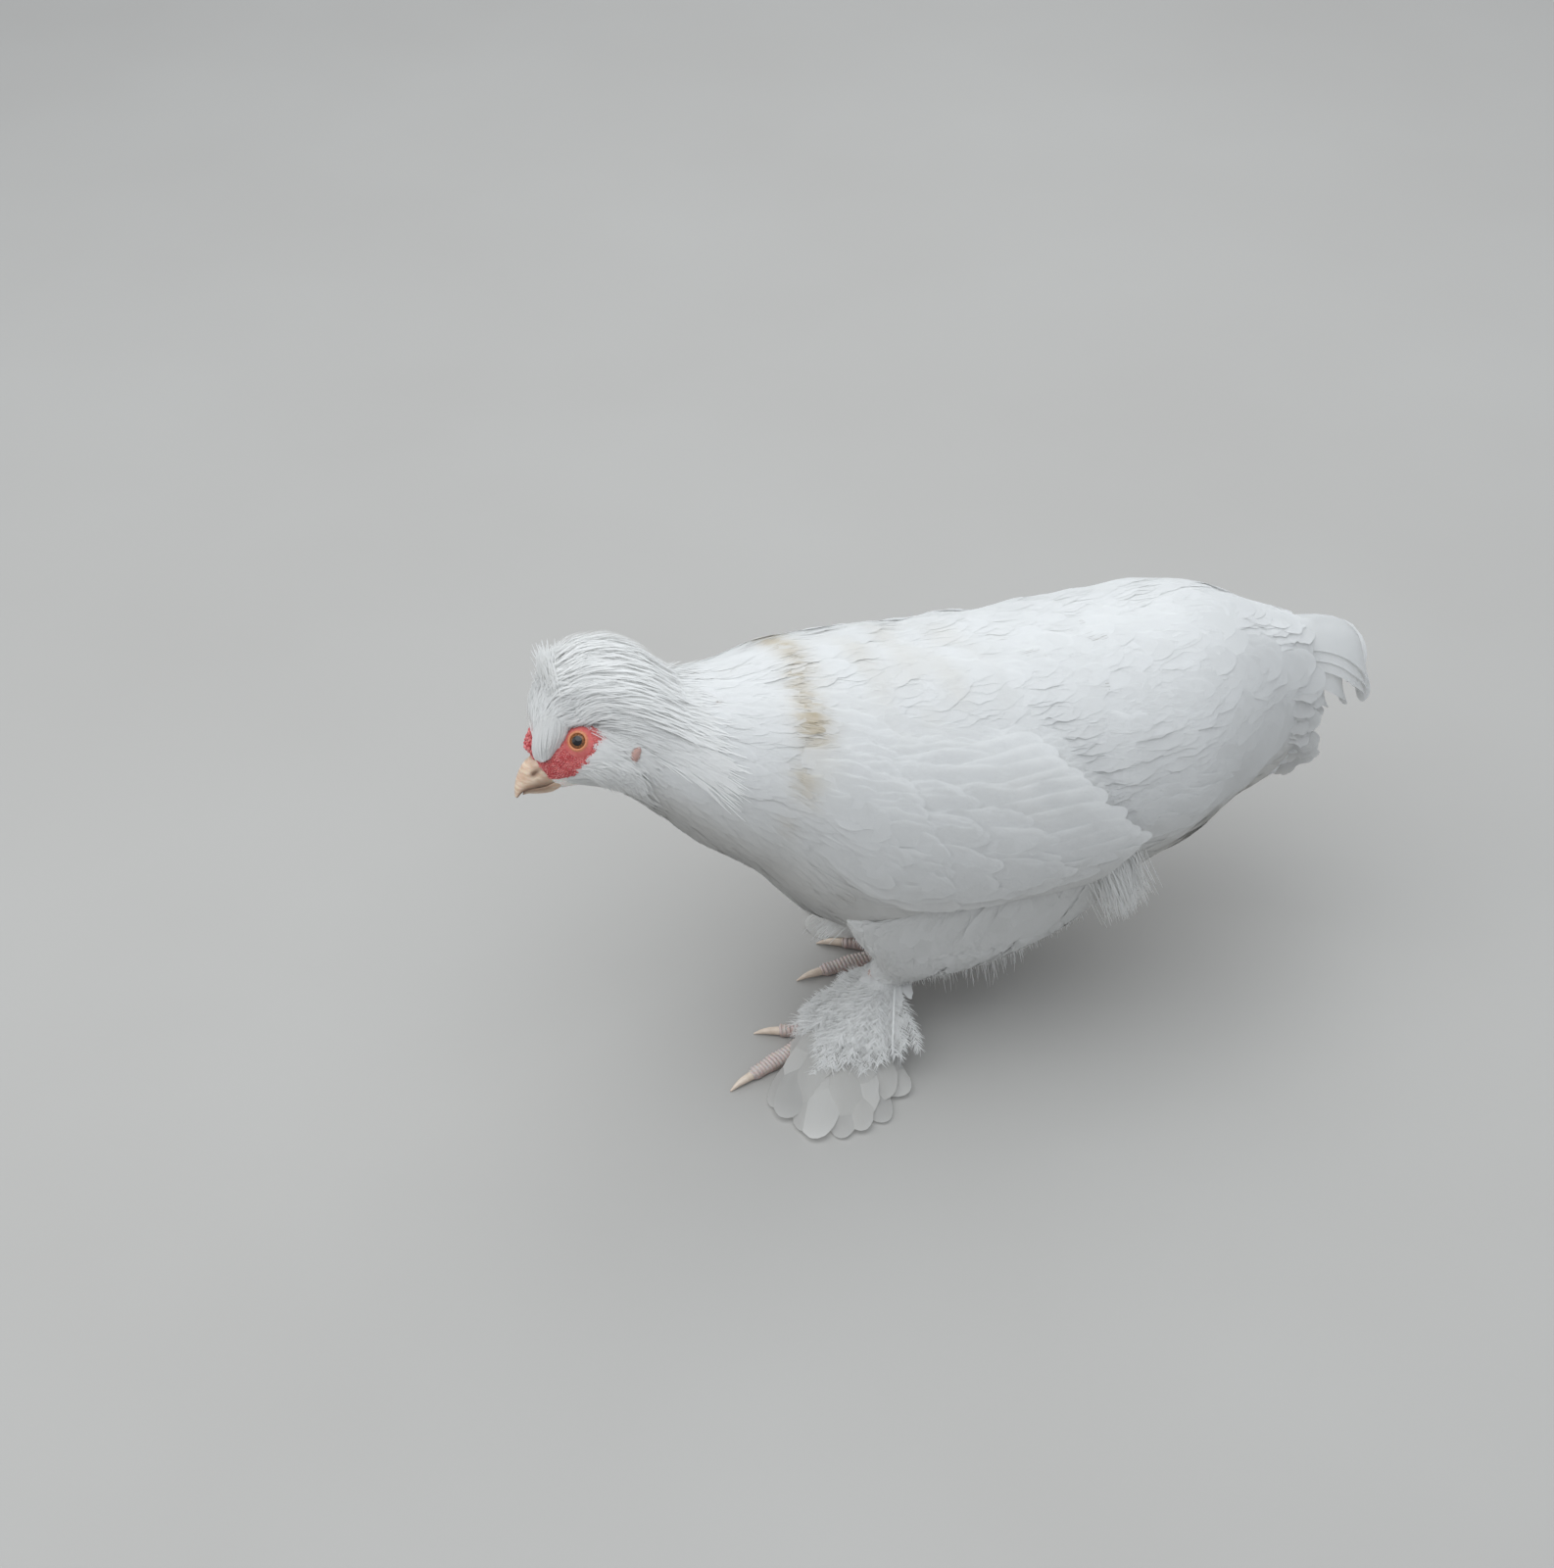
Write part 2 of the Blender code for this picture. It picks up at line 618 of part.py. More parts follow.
BOOT_TIERS = (
    # place on the shank from the foot up, how many, first and last way out (degrees back from ahead), length,
    # height of the tips, half width
    (0.05, 5, 67, 110, 0.065, 0.0018, 0.0080),
    (0.28, 4, 42, 124, 0.042, 0.0075, 0.0082),
    (0.48, 4, 26, 128, 0.031, 0.0130, 0.0076),
    (0.66, 3, 20, 112, 0.023, 0.0185, 0.0068),
)


def thigh(word, side):
    """An upright loft of ovals that narrows to a ring at the hock."""
    centre, hock, _ = LEGS[word]
    down = (centre - hock).normalized()
    across = down.cross(Vector((0, 1, 0))).normalized()
    sideways = down.cross(across) * -side
    rings = []
    turns = [2 * math.pi * k / 24 for k in range(24)]
    for z, x, half_x, y, half_y in THIGH:
        rings.append([Vector((x + half_x * math.cos(t), side * (y + half_y * math.sin(t)), z)) for t in turns])
    rings.append([
        hock - down * GAP + (across * math.cos(t) + sideways * math.sin(t)) * HOCK_RADIUS for t in turns
    ])
    return cut(loft("thigh_" + word, rings, PLUMAGE), clear_torso)


def toe(centre, ahead, length, radius):
    """Comes down onto the floor from the foot's centre and lies along it, flat below."""
    steps = 5
    path, radii = [], []
    for i in range(steps + 1):
        f = i / steps
        height = blend(0.0080, 0.0030, min(1.0, f / 0.35)) - 0.0006 * f
        path.append(Vector((centre.x, centre.y, height)) + ahead * (length * f))
        radii.append(radius * (1.12 - 0.34 * f) * (1 + 0.08 * math.cos(i * math.pi)))
    return tube("toe", path, radii, sides=7, floor=0.0)


def claw(name, root, ahead):
    path = [root + ahead * (CLAW * f) + Vector((0, 0, 0.0008 * f - 0.0028 * f * f)) for f, _ in CLAW_SHAPE]
    tube(name, path, [radius for _, radius in CLAW_SHAPE], HORN, sides=7, ends=(ahead, None), floor=0.0)


def foot(word, side):
    centre, hock, out_by = LEGS[word]
    down = (centre - hock).normalized()
    shank_path = [hock.lerp(centre, f) for f in (0, 0.25, 0.55, 0.85, 1)]
    radii = [0.0080, 0.0062, 0.0050, 0.0052, 0.0056]
    shank = tube("foot_" + word, shank_path, radii, TOE_SKIN, sides=12, ends=(down, down))
    pieces = [ball("pad", Vector((centre.x, centre.y, 0.0062)), (0.0072, 0.0068, 0.0052))]
    for number, inside, length, radius in TOES:
        heading = math.radians(side * (out_by - inside))
        ahead = Vector((-math.cos(heading), math.sin(heading), 0))
        pieces.append(toe(centre, ahead, length, radius))
        claw(f"claw_{word}_{number}", Vector((centre.x, centre.y, 0.0024)) + ahead * (length + GAP), ahead)
    return fuse(shank, pieces + boot(centre, hock, side))


def boot(centre, hock, side):
    """Long feathers that leave the shank's outer side, drop, and flatten out over the floor."""
    made = []
    steps = 3
    for place, count, first, last, length, low, half in BOOT_TIERS:
        root = centre.lerp(hock, place)
        for k in range(count):
            heading = math.radians(blend(first, last, k / (count - 1)))
            out = Vector((-math.cos(heading), side * math.sin(heading), 0))
            reach = length * DRAWS.uniform(0.93, 1.07) * (0.80 + 0.20 * math.sin(math.pi * k / (count - 1)))
            drop = low + 0.0012 * (k % 2) - root.z
            centres = [root + out * (0.001 + reach * i / steps) + Vector((0, 0, drop * (i / steps) ** 0.7))
                       for i in range(steps + 1)]
            outs = [Vector((0, 0, 1)) + out * blend(0.9, 0.1, i / steps) for i in range(steps + 1)]
            made.append(vane(centres, outs, feather_widths(half, steps, tip=0.5), roll=5 * side, bow=12))
    return made


for word, side in SIDES.items():
    thigh(word, side)
    foot(word, side)

for helper in (clear_head, clear_neck, clear_comb, clear_torso):
    bpy.data.objects.remove(helper)


# Place on the origin: the middle of the whole bird's length and width, and the floor
def centre_on_origin():
    corners = [Vector(c) for o in bpy.context.scene.objects for c in o.bound_box]
    low = Vector([min(c[i] for c in corners) for i in range(3)])
    high = Vector([max(c[i] for c in corners) for i in range(3)])
    hen = bpy.data.objects.new("hen", None)
    bpy.context.scene.collection.objects.link(hen)
    for node in list(bpy.context.scene.objects):
        if node is not hen:
            node.parent = hen
            node.data.shade_smooth()
    hen.location = (-(low.x + high.x) / 2, -(low.y + high.y) / 2, -low.z)
    print("moved by", tuple(round(v, 5) for v in hen.location))


centre_on_origin()
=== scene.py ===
"""The looks of a crested, feather-legged bantam hen, life size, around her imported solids.

Metres, +Z up. She faces -X and her left side is towards -Y. Her sizes are laid out as in the source of the
solids: x and y are counted from the floor midway between her feet, and `stand` moves them onto the frame.
"""
import math
from functools import partial

import bmesh
import bpy
import numpy as np
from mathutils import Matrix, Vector, kdtree


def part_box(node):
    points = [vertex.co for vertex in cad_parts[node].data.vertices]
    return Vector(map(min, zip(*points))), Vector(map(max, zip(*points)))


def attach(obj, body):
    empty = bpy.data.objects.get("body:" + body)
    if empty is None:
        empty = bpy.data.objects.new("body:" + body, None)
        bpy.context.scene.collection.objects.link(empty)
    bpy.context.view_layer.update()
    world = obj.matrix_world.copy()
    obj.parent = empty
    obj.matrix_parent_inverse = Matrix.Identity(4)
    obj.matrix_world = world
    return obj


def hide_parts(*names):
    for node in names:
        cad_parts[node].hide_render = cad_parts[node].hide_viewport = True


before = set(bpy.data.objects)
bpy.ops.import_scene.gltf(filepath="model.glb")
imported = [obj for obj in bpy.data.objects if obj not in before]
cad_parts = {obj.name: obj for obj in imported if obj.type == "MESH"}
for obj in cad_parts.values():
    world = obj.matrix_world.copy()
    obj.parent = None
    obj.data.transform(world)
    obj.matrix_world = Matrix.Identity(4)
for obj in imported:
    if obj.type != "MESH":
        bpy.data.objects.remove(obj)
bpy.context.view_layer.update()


# Camera, floor and light: she is seen from her left and from above, as a person who stands beside her sees
# her. The floor is pale card, and the light is that of a clouded sky, with a little more of it from behind.
NECK_CUT = -0.045  # x of the torso's front end, counted from between the feet
low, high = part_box("torso")
stand = np.array((low.x - NECK_CUT, (low.y + high.y) / 2, 0.0))
VIEW_AROUND, VIEW_ABOVE, VIEW_FROM = -18.0, 38.0, 1.2
LENS, SENSOR = 67.5, 36  # mm
LOOKS_AT = stand + (-0.034, 0, 0.121)
CLOUD_COLOUR, CLOUD_STRENGTH = (0.86, 0.92, 1.0, 1), 0.62
FLOOR_REACH = 9


def way_to(around, above):
    """The way from the hen towards a place so many degrees around her and above the floor."""
    around, above = math.radians(around), math.radians(above)
    return Vector((math.sin(around) * math.cos(above), -math.cos(around) * math.cos(above), math.sin(above)))


camera = bpy.data.objects.new("camera", bpy.data.cameras.new("camera"))
camera.data.lens, camera.data.sensor_width = LENS, SENSOR
camera.location = Vector(LOOKS_AT) + way_to(VIEW_AROUND, VIEW_ABOVE) * VIEW_FROM
camera.rotation_euler = (-way_to(VIEW_AROUND, VIEW_ABOVE)).to_track_quat("-Z", "Y").to_euler()
bpy.context.scene.collection.objects.link(camera)
bpy.context.scene.camera = camera

LAMPS = (
    # name, degrees around and above, distance, size, watts, colour
    ("sky", -40, 76, 1.6, 2.2, 25.0, (0.93, 0.97, 1.0)),
    ("behind", 150, 48, 1.6, 1.2, 8.0, (0.95, 0.98, 1.0)),
    ("side", -95, 28, 1.5, 1.2, 3.0, (1.0, 0.98, 0.95)),
)
for name, around, above, distance, size, watts, colour in LAMPS:
    lamp = bpy.data.objects.new(name, bpy.data.lights.new(name, "AREA"))
    lamp.data.shape, lamp.data.size, lamp.data.energy, lamp.data.color = "DISK", size, watts, colour
    lamp.location = Vector(LOOKS_AT) + way_to(around, above) * distance
    lamp.rotation_euler = (-way_to(around, above)).to_track_quat("-Z", "Y").to_euler()
    bpy.context.scene.collection.objects.link(lamp)
world = bpy.data.worlds.new("room")
world.use_nodes = True
world.node_tree.nodes["Background"].inputs["Color"].default_value = CLOUD_COLOUR
world.node_tree.nodes["Background"].inputs["Strength"].default_value = CLOUD_STRENGTH
bpy.context.scene.world = world
bpy.context.scene.view_settings.view_transform = "Standard"


class Wire:
    """A socket of a node tree. Sums on it add their Math nodes, and node() adds any other node."""

    def __init__(self, tree, socket=None):
        self.tree, self.socket = tree, socket

    def node(self, kind, settings=(), sockets=(), out=0):
        """An output of a new node with these settings and sockets."""
        made = self.tree.nodes.new(kind)
        for key, value in dict(settings).items():
            setattr(made, key, value)
        for key, value in dict(sockets).items():
            if isinstance(value, Wire):
                self.tree.links.new(value.socket, made.inputs[key])
            else:
                made.inputs[key].default_value = value
        return Wire(self.tree, made.outputs[out])

    def of(self, operation, *values, **settings):
        """The output of a new Math node."""
        return self.node("ShaderNodeMath", {"operation": operation, **settings}, enumerate(values))

    def __add__(self, other):
        return self.of("ADD", self, other)

    def __sub__(self, other):
        return self.of("SUBTRACT", self, other)

    def __rsub__(self, other):
        return self.of("SUBTRACT", other, self)

    def __mul__(self, other):
        return self.of("MULTIPLY", self, other)

    def __abs__(self):
        return self.of("ABSOLUTE", self)

    __radd__, __rmul__ = __add__, __mul__

    def clamp(self):
        """This, held between 0 and 1."""
        return self.of("ADD", self, 0.0, use_clamp=True)

    def step(self, start, end):
        """0 below start and 1 over end, smoothly."""
        sockets = {"Value": self, "From Min": start, "From Max": end}
        return self.node("ShaderNodeMapRange", {"interpolation_type": "SMOOTHSTEP"}, sockets)

    def tint(self, under, over):
        """The colour under where this is 0, and the colour over where it is 1."""
        return self.node("ShaderNodeMix", {"data_type": "RGBA"}, {0: self, 6: under, 7: over}, out=2)

    def part(self, k):
        """The x, y or z of this vector."""
        return self.node("ShaderNodeSeparateXYZ", (), {0: self}, out=k)


def finish(name, **constants):
    """A new material with its shader's constant sockets set: the material, a Wire in it and its shader."""
    made = bpy.data.materials.new(name)
    made.use_nodes = True
    shader = made.node_tree.nodes["Principled BSDF"]
    for key, value in constants.items():
        shader.inputs[key.replace("_", " ")].default_value = value
    return made, Wire(made.node_tree), shader


def dress(wire, shader, colour=None, roughness=None, relief=None, height=0.0002, strength=1.0):
    """Joins what changes over a surface to its shader. relief runs from 0 to 1, over a height in metres."""
    if relief is not None:
        bump = wire.node("ShaderNodeBump", (), {"Strength": strength, "Distance": height, "Height": relief})
        wire.tree.links.new(bump.socket, shader.inputs["Normal"])
    for key, value in (("Base Color", colour), ("Roughness", roughness)):
        if value is not None:
            wire.tree.links.new(value.socket, shader.inputs[key])


def grain(wire, scale, detail=3.0, stretch=(1, 1, 1)):
    """Noise from 0 to 1 on the piece's own coordinates."""
    place = wire.node("ShaderNodeTexCoord", out=3)
    place = wire.node("ShaderNodeMapping", (), {"Vector": place, "Scale": stretch})
    return wire.node("ShaderNodeTexNoise", (), {"Vector": place, "Scale": scale, "Detail": detail})


card, wire, shader = finish("pale_card", Roughness=0.9)
dress(wire, shader, colour=grain(wire, 4.0).tint((0.36, 0.345, 0.325, 1), (0.40, 0.39, 0.37, 1)))
floor_mesh = bpy.data.meshes.new("floor")
corners = [(x * FLOOR_REACH, y * FLOOR_REACH, 0) for x, y in ((-1, -1), (1, -1), (1, 1), (-1, 1))]
floor_mesh.from_pydata(corners, [], [(0, 1, 2, 3)])
floor_mesh.materials.append(card)
floor = bpy.data.objects.new("floor", floor_mesh)
bpy.context.scene.collection.objects.link(floor)


# Skin: one closed skin from the bill's root to the tail's core, with both thighs grown into it. It is pale
# and soft, lies under the plumage by the plumage's depth, and comes out bare, red and grained round each eye.
SPINE = (
    # x on the spine, height of the widest line, nod and roll (degrees), rise, drop and half width of the body
    (-0.129, 0.151, 36, 26, 0.0090, 0.0095, 0.0075),
    (-0.121, 0.155, 31, 26, 0.0140, 0.0130, 0.0125),
    (-0.112, 0.157, 24, 26, 0.0185, 0.0170, 0.0160),
    (-0.100, 0.156, 14, 22, 0.0235, 0.0230, 0.0200),
    (-0.088, 0.152, 5, 16, 0.0290, 0.0290, 0.0250),
    (-0.074, 0.147, 0, 9, 0.0340, 0.0370, 0.0310),
    (-0.060, 0.142, 0, 3, 0.0390, 0.0440, 0.0370),
    (-0.045, 0.138, 0, 0, 0.0440, 0.0540, 0.0430),
    (-0.026, 0.130, 0, 0, 0.0530, 0.0680, 0.0510),
    (-0.008, 0.121, 0, 0, 0.0610, 0.0740, 0.0560),
    (0.012, 0.115, 0, 0, 0.0650, 0.0740, 0.0595),
    (0.036, 0.111, 0, 0, 0.0670, 0.0710, 0.0610),
    (0.060, 0.110, 0, 0, 0.0670, 0.0680, 0.0610),
    (0.085, 0.111, 0, 0, 0.0655, 0.0630, 0.0605),
    (0.105, 0.113, 0, 0, 0.0640, 0.0575, 0.0590),
    (0.128, 0.116, 0, 0, 0.0610, 0.0510, 0.0560),
    (0.145, 0.118, 0, 0, 0.0575, 0.0450, 0.0500),
    (0.160, 0.119, 0, 0, 0.0520, 0.0410, 0.0420),
    (0.175, 0.117, 0, 0, 0.0460, 0.0360, 0.0330),
    (0.190, 0.115, 0, 0, 0.0410, 0.0310, 0.0250),
    (0.205, 0.112, 0, 0, 0.0360, 0.0260, 0.0200),
    (0.220, 0.108, 0, 0, 0.0280, 0.0200, 0.0160),
)
FACE_END, SKIN_END = -0.090, 0.186
FACE_STEP, BODY_STEP, COLUMNS = 0.0006, 0.003, 192
CHANCE = np.random.default_rng(23)  # the feathers' unevenness is drawn from here, in the order of this file


def section_at(x):
    """The body's section at x on the spine, on a smooth curve through the listed ones."""
    i, last = sum(1 for row in SPINE[1:-1] if row[0] <= x), len(SPINE) - 1
    before, first, second, after = (np.array(SPINE[max(0, min(last, k))]) for k in range(i - 1, i + 3))
    span = second[0] - first[0]
    f = (x - first[0]) / span
    leaving = (second - before) / (second[0] - before[0]) * span
    arriving = (after - first) / (after[0] - first[0]) * span
    return ((2 * f**3 - 3 * f**2 + 1) * first + (f**3 - 2 * f**2 + f) * leaving
            + (3 * f**2 - 2 * f**3) * second + (f**3 - f**2) * arriving)


PLACES = np.linspace(SPINE[0][0], SPINE[-1][0], 1400)
SECTIONS = np.array([section_at(x) for x in PLACES]).T[1:]


def unit(v):
    """Arrows of length 1 that point the same ways."""
    return v / np.maximum(np.linalg.norm(v, axis=-1, keepdims=True), 1e-12)


def body_axes(x):
    """The centre of each section, and its ways up and to her right."""
    height, nod, roll = (np.interp(x, PLACES, row) for row in SECTIONS[:3])
    nod, roll, none = np.radians(nod), np.radians(roll), np.zeros_like(x)
    upright = np.stack((-np.sin(nod), none, np.cos(nod)), -1)
    level = np.stack((none, none + 1, none), -1)
    cos, sin = np.cos(roll)[..., None], np.sin(roll)[..., None]
    centre = np.stack((x, none, height), -1) + stand
    return centre, upright * cos + level * sin, level * cos - upright * sin


def ring_point(x, angle):
    """A point of the body. The angle (degrees) runs from the top, and is negative on her left."""
    centre, up, right = body_axes(x)
    rise, drop, half = (np.interp(x, PLACES, row) for row in SECTIONS[3:])
    turn = np.radians(angle)
    tall = np.cos(turn) * np.where(np.cos(turn) > 0, rise, drop)
    return centre + up * tall[..., None] + right * (np.sin(turn) * half)[..., None]


def on_body(x, angle, lift=0.0):
    """Points over the body, and the way out of it there."""
    x, angle, lift = np.broadcast_arrays(np.asarray(x, float), np.asarray(angle, float), lift)
    here = ring_point(x, angle)
    out = unit(np.cross(ring_point(x + 0.001, angle) - ring_point(x - 0.001, angle),
                        ring_point(x, angle + 1) - ring_point(x, angle - 1)))
    out *= np.where((out * (here - body_axes(x)[0])).sum(-1, keepdims=True) < 0, -1, 1)
    return here + out * lift[..., None], out


def stretch(x, angle):
    """Metres on the body for each degree of angle."""
    return np.linalg.norm(ring_point(x, angle + 1) - ring_point(x, angle - 1), axis=-1) / 2


def hump(value, middle, reach):
    """1 at the middle, falling smoothly to 0 about twice its reach away."""
    return np.exp(-((value - middle) / reach) ** 2)


def ramp(value, start, end):
    """0 before start, 1 after end, smoothly."""
    f = np.clip((value - start) / (end - start), 0, 1)
    return f * f * (3 - 2 * f)


def ripple(x, angle, size, seed):
    """Soft folds about so many metres across, mostly between -1 and 1. Each is a sum of seven waves."""
    draws = np.random.default_rng(seed)
    total = 0
    for _ in range(7):
        heading, phase, pitch = draws.uniform(0, math.pi), draws.uniform(0, 9), draws.uniform(0.7, 1.4) * size
        way = x * math.sin(heading) + angle * 0.001 * math.cos(heading)
        total = total + np.sin(way * (2 * math.pi / pitch) + phase)
    return total / math.sqrt(7) / 1.4


# Where the folded wing's front and rear (x) and its top and foot (degrees) lie, and how far it and what is
# round it stand off the body or sink into it, in metres
WING_FRONT, WING_REAR, WING_TOP, WING_FOOT = -0.034, 0.092, 44.0, 108.0
WING_SWELL, SEAM_SINKS, LUMP_SWELL, HOLLOW_SINKS, CUSHION_SWELL = 0.0034, 0.0040, 0.0014, 0.0028, 0.0012


def fullness(x, angle):
    """How much the plumage swells (metres) over the spine's sizes: the folded wings, the seam, the soft lump
    and the hollow behind each, the cushion in front of the tail, and soft uneven folds."""
    side = np.abs(angle)
    rear = WING_REAR - 0.030 * ramp(90 - side, 0, 50)
    wing = (ramp(x, WING_FRONT, WING_FRONT + 0.03) * ramp(rear - x, -0.003, 0.012)
            * ramp(side, WING_TOP - 10, WING_TOP + 34) * ramp(WING_FOOT + 4 - side, 0, 14))
    seam = hump(x, 0.0670 + 0.00058 * (side - 39), 0.0075) * hump(side, 66, 24)
    lump = hump(x, 0.098, 0.009) * hump(side, 62, 18)
    hollow = hump(x, 0.1150, 0.0085) * hump(side, 78, 22)
    cushion = hump(x, 0.150, 0.030) * hump(side, 30, 40)
    folds = 0.0010 * ripple(x, angle, 0.034, 3) + 0.00015 * ripple(x, angle, 0.014, 12)
    return (WING_SWELL * wing * (1 + 0.5 * ramp(x, 0.01, 0.07)) - SEAM_SINKS * seam + LUMP_SWELL * lump
            - HOLLOW_SINKS * hollow + CUSHION_SWELL * cushion + folds * ramp(x, -0.09, -0.02))


FACE_EDGE = (
    # x and angle of the edge of the bare face, from the nostril over the eye and back under it to the gape
    (-0.1290, 8), (-0.1240, 22), (-0.1180, 44), (-0.1105, 46), (-0.1060, 50), (-0.1016, 62), (-0.1040, 72),
    (-0.1080, 82), (-0.1120, 95), (-0.1165, 106), (-0.1215, 114), (-0.1262, 112), (-0.1290, 104),
)


DEGREE = 0.0003  # metres that a degree measures on the face


def bareness(x, angle):
    """1 on the bare face and 0 off it, changing over about a millimetre at its edge."""
    edge = np.array(FACE_EDGE) * (1, DEGREE)
    at = np.stack((x, np.abs(angle) * DEGREE), -1)
    inside, nearest = np.zeros(at.shape[:-1], bool), np.full(at.shape[:-1], 9.0)
    for a, b in zip(edge, np.roll(edge, -1, axis=0)):
        share = np.clip(((at - a) * (b - a)).sum(-1) / ((b - a) ** 2).sum(), 0, 1)
        nearest = np.minimum(nearest, np.linalg.norm(at - a - share[..., None] * (b - a), axis=-1))
        crosses = (a[1] > at[..., 1]) != (b[1] > at[..., 1])
        inside ^= crosses & (at[..., 0] < (b[0] - a[0]) * (at[..., 1] - a[1]) / (b[1] - a[1] + 1e-12) + a[0])
    return ramp(np.where(inside, nearest, -nearest), -0.0005, 0.0007)


COAT = (
    # x, and the plumage's depth over the skin there
    (-0.129, 0.0004), (-0.120, 0.0004), (-0.105, 0.0006), (-0.085, 0.0008), (-0.050, 0.0010), (0.0, 0.0010))


def coat_depth(x, angle):
    """How deep (metres) the skin lies under the plumage. It is bare at the face."""
    return np.interp(x, *np.array(COAT).T) * (1 - bareness(x, angle))


def mesh_piece(name, points, faces, look):
    """A new object from arrays of points and of faces that all have as many corners."""
    points, faces = np.asarray(points, float).reshape(-1, 3), np.asarray(faces, int)
    mesh = bpy.data.meshes.new(name)
    mesh.vertices.add(len(points))
    mesh.vertices.foreach_set("co", points.ravel())
    mesh.loops.add(faces.size)
    mesh.loops.foreach_set("vertex_index", faces.ravel())
    mesh.polygons.add(len(faces))
    mesh.polygons.foreach_set("loop_start", np.arange(0, faces.size, faces.shape[1]))
    mesh.materials.append(look)
    mesh.update(calc_edges=True)
    mesh.polygons.foreach_set("use_smooth", [True] * len(faces))
    made = bpy.data.objects.new(name, mesh)
    bpy.context.scene.collection.objects.link(made)
    return made


def tube_faces(rings, columns, start=0):
    """Quads between closed rings of points, each to its neighbour, looking out of a tube whose rings turn
    left-handed about the way it runs."""
    i, k = np.meshgrid(np.arange(rings - 1), np.arange(columns), indexing="ij")
    a, b = i * columns + k, i * columns + (k + 1) % columns
    return np.stack((a, b, b + columns, a + columns), -1).reshape(-1, 4) + start


def face_out(piece):
    """Merges doubled points and turns every face of a closed piece outwards."""
    shape = bmesh.new()
    shape.from_mesh(piece.data)
    bmesh.ops.remove_doubles(shape, verts=shape.verts, dist=1e-7)
    bmesh.ops.recalc_face_normals(shape, faces=shape.faces)
    shape.to_mesh(piece.data)
    shape.free()


def closed_tube(name, rings, look):
    """A closed piece through rings (ring, point, 3), whose first and last rings shrink to a point."""
    rings = np.asarray(rings, float)
    first = np.repeat(rings[:1].mean(1, keepdims=True), rings.shape[1], 1)
    last = np.repeat(rings[-1:].mean(1, keepdims=True), rings.shape[1], 1)
    rings = np.concatenate((first, rings, last))
    made = mesh_piece(name, rings, tube_faces(len(rings), rings.shape[1]), look)
    face_out(made)
    return made


def numbers(piece, name, values, kind="FLOAT"):
    """Gives the piece's points a named number, or a named colour of four."""
    made = piece.data.attributes.new(name, kind, "POINT")
    made.data.foreach_set("value" if kind == "FLOAT" else "color", np.asarray(values, np.float32).ravel())


skin_look, wire, shader = finish("hen_skin", Subsurface_Weight=0.25, Subsurface_Scale=0.002, IOR=1.4)
shader.inputs["Subsurface Radius"].default_value = (1.0, 0.3, 0.2)
bare = wire.node("ShaderNodeAttribute", {"attribute_name": "bare"}, out=2)
place = wire.node("ShaderNodeTexCoord", out=3)
cells = wire.node("ShaderNodeTexVoronoi", {"feature": "F1"}, {"Vector": place, "Scale": 1500.0})
fine = grain(wire, 900.0)
patchy = grain(wire, 170.0)
red = patchy.step(0.35, 0.7).tint((0.40, 0.045, 0.050, 1), (0.60, 0.13, 0.12, 1))
red = cells.step(0.15, 0.6).tint((0.68, 0.23, 0.21, 1), red)
dress(wire, shader, colour=bare.step(0.3, 0.6).tint((0.80, 0.75, 0.70, 1), red), roughness=0.42 + fine * 0.25,
      relief=1 - cells.step(0.0, 0.8) + fine * 0.3, height=0.00025, strength=0.8)

rows_x = np.concatenate((np.arange(SPINE[0][0], FACE_END, FACE_STEP),
                         np.arange(FACE_END, SKIN_END, BODY_STEP)))
grid_x, grid_angle = np.meshgrid(rows_x, np.arange(COLUMNS) * 360 / COLUMNS - 180, indexing="ij")
bare_here = bareness(grid_x, grid_angle)
creases = 0.00022 * ripple(grid_x, grid_angle, 0.0022, 5) + 0.0001 * ripple(grid_x, grid_angle, 0.0011, 6)
lift = fullness(grid_x, grid_angle) - coat_depth(grid_x, grid_angle) + creases * bare_here
skin = closed_tube("skin", on_body(grid_x, grid_angle, lift)[0], skin_look)

THIGH = (
    # share of the way down, height, middle and half of the length, middle and half of the width of the thigh
    (0.00, 0.092, 0.044, 0.056, 0.029, 0.0170),
    (0.24, 0.076, 0.038, 0.069, 0.032, 0.0190),
    (0.46, 0.062, 0.038, 0.062, 0.034, 0.0190),
    (0.64, 0.051, 0.037, 0.052, 0.034, 0.0170),
    (0.78, 0.043, 0.031, 0.039, 0.033, 0.0150),
    (0.89, 0.037, 0.022, 0.025, 0.030, 0.0125),
)
SIDES = {"left": -1, "right": 1}
HOCKS = {-1: (0.009, -0.0265, 0.031), 1: (0.037, 0.018, 0.030)}
FOOT_AT = {-1: (-0.020, -0.026, 0.010), 1: (0.032, 0.014, 0.010)}
HOCK_RADIUS, SHANK_RADIUS = 0.0090, 0.0066
SHANK_FOOT = (1.75, 0.012)  # share of the way down and height of the shank's lower end


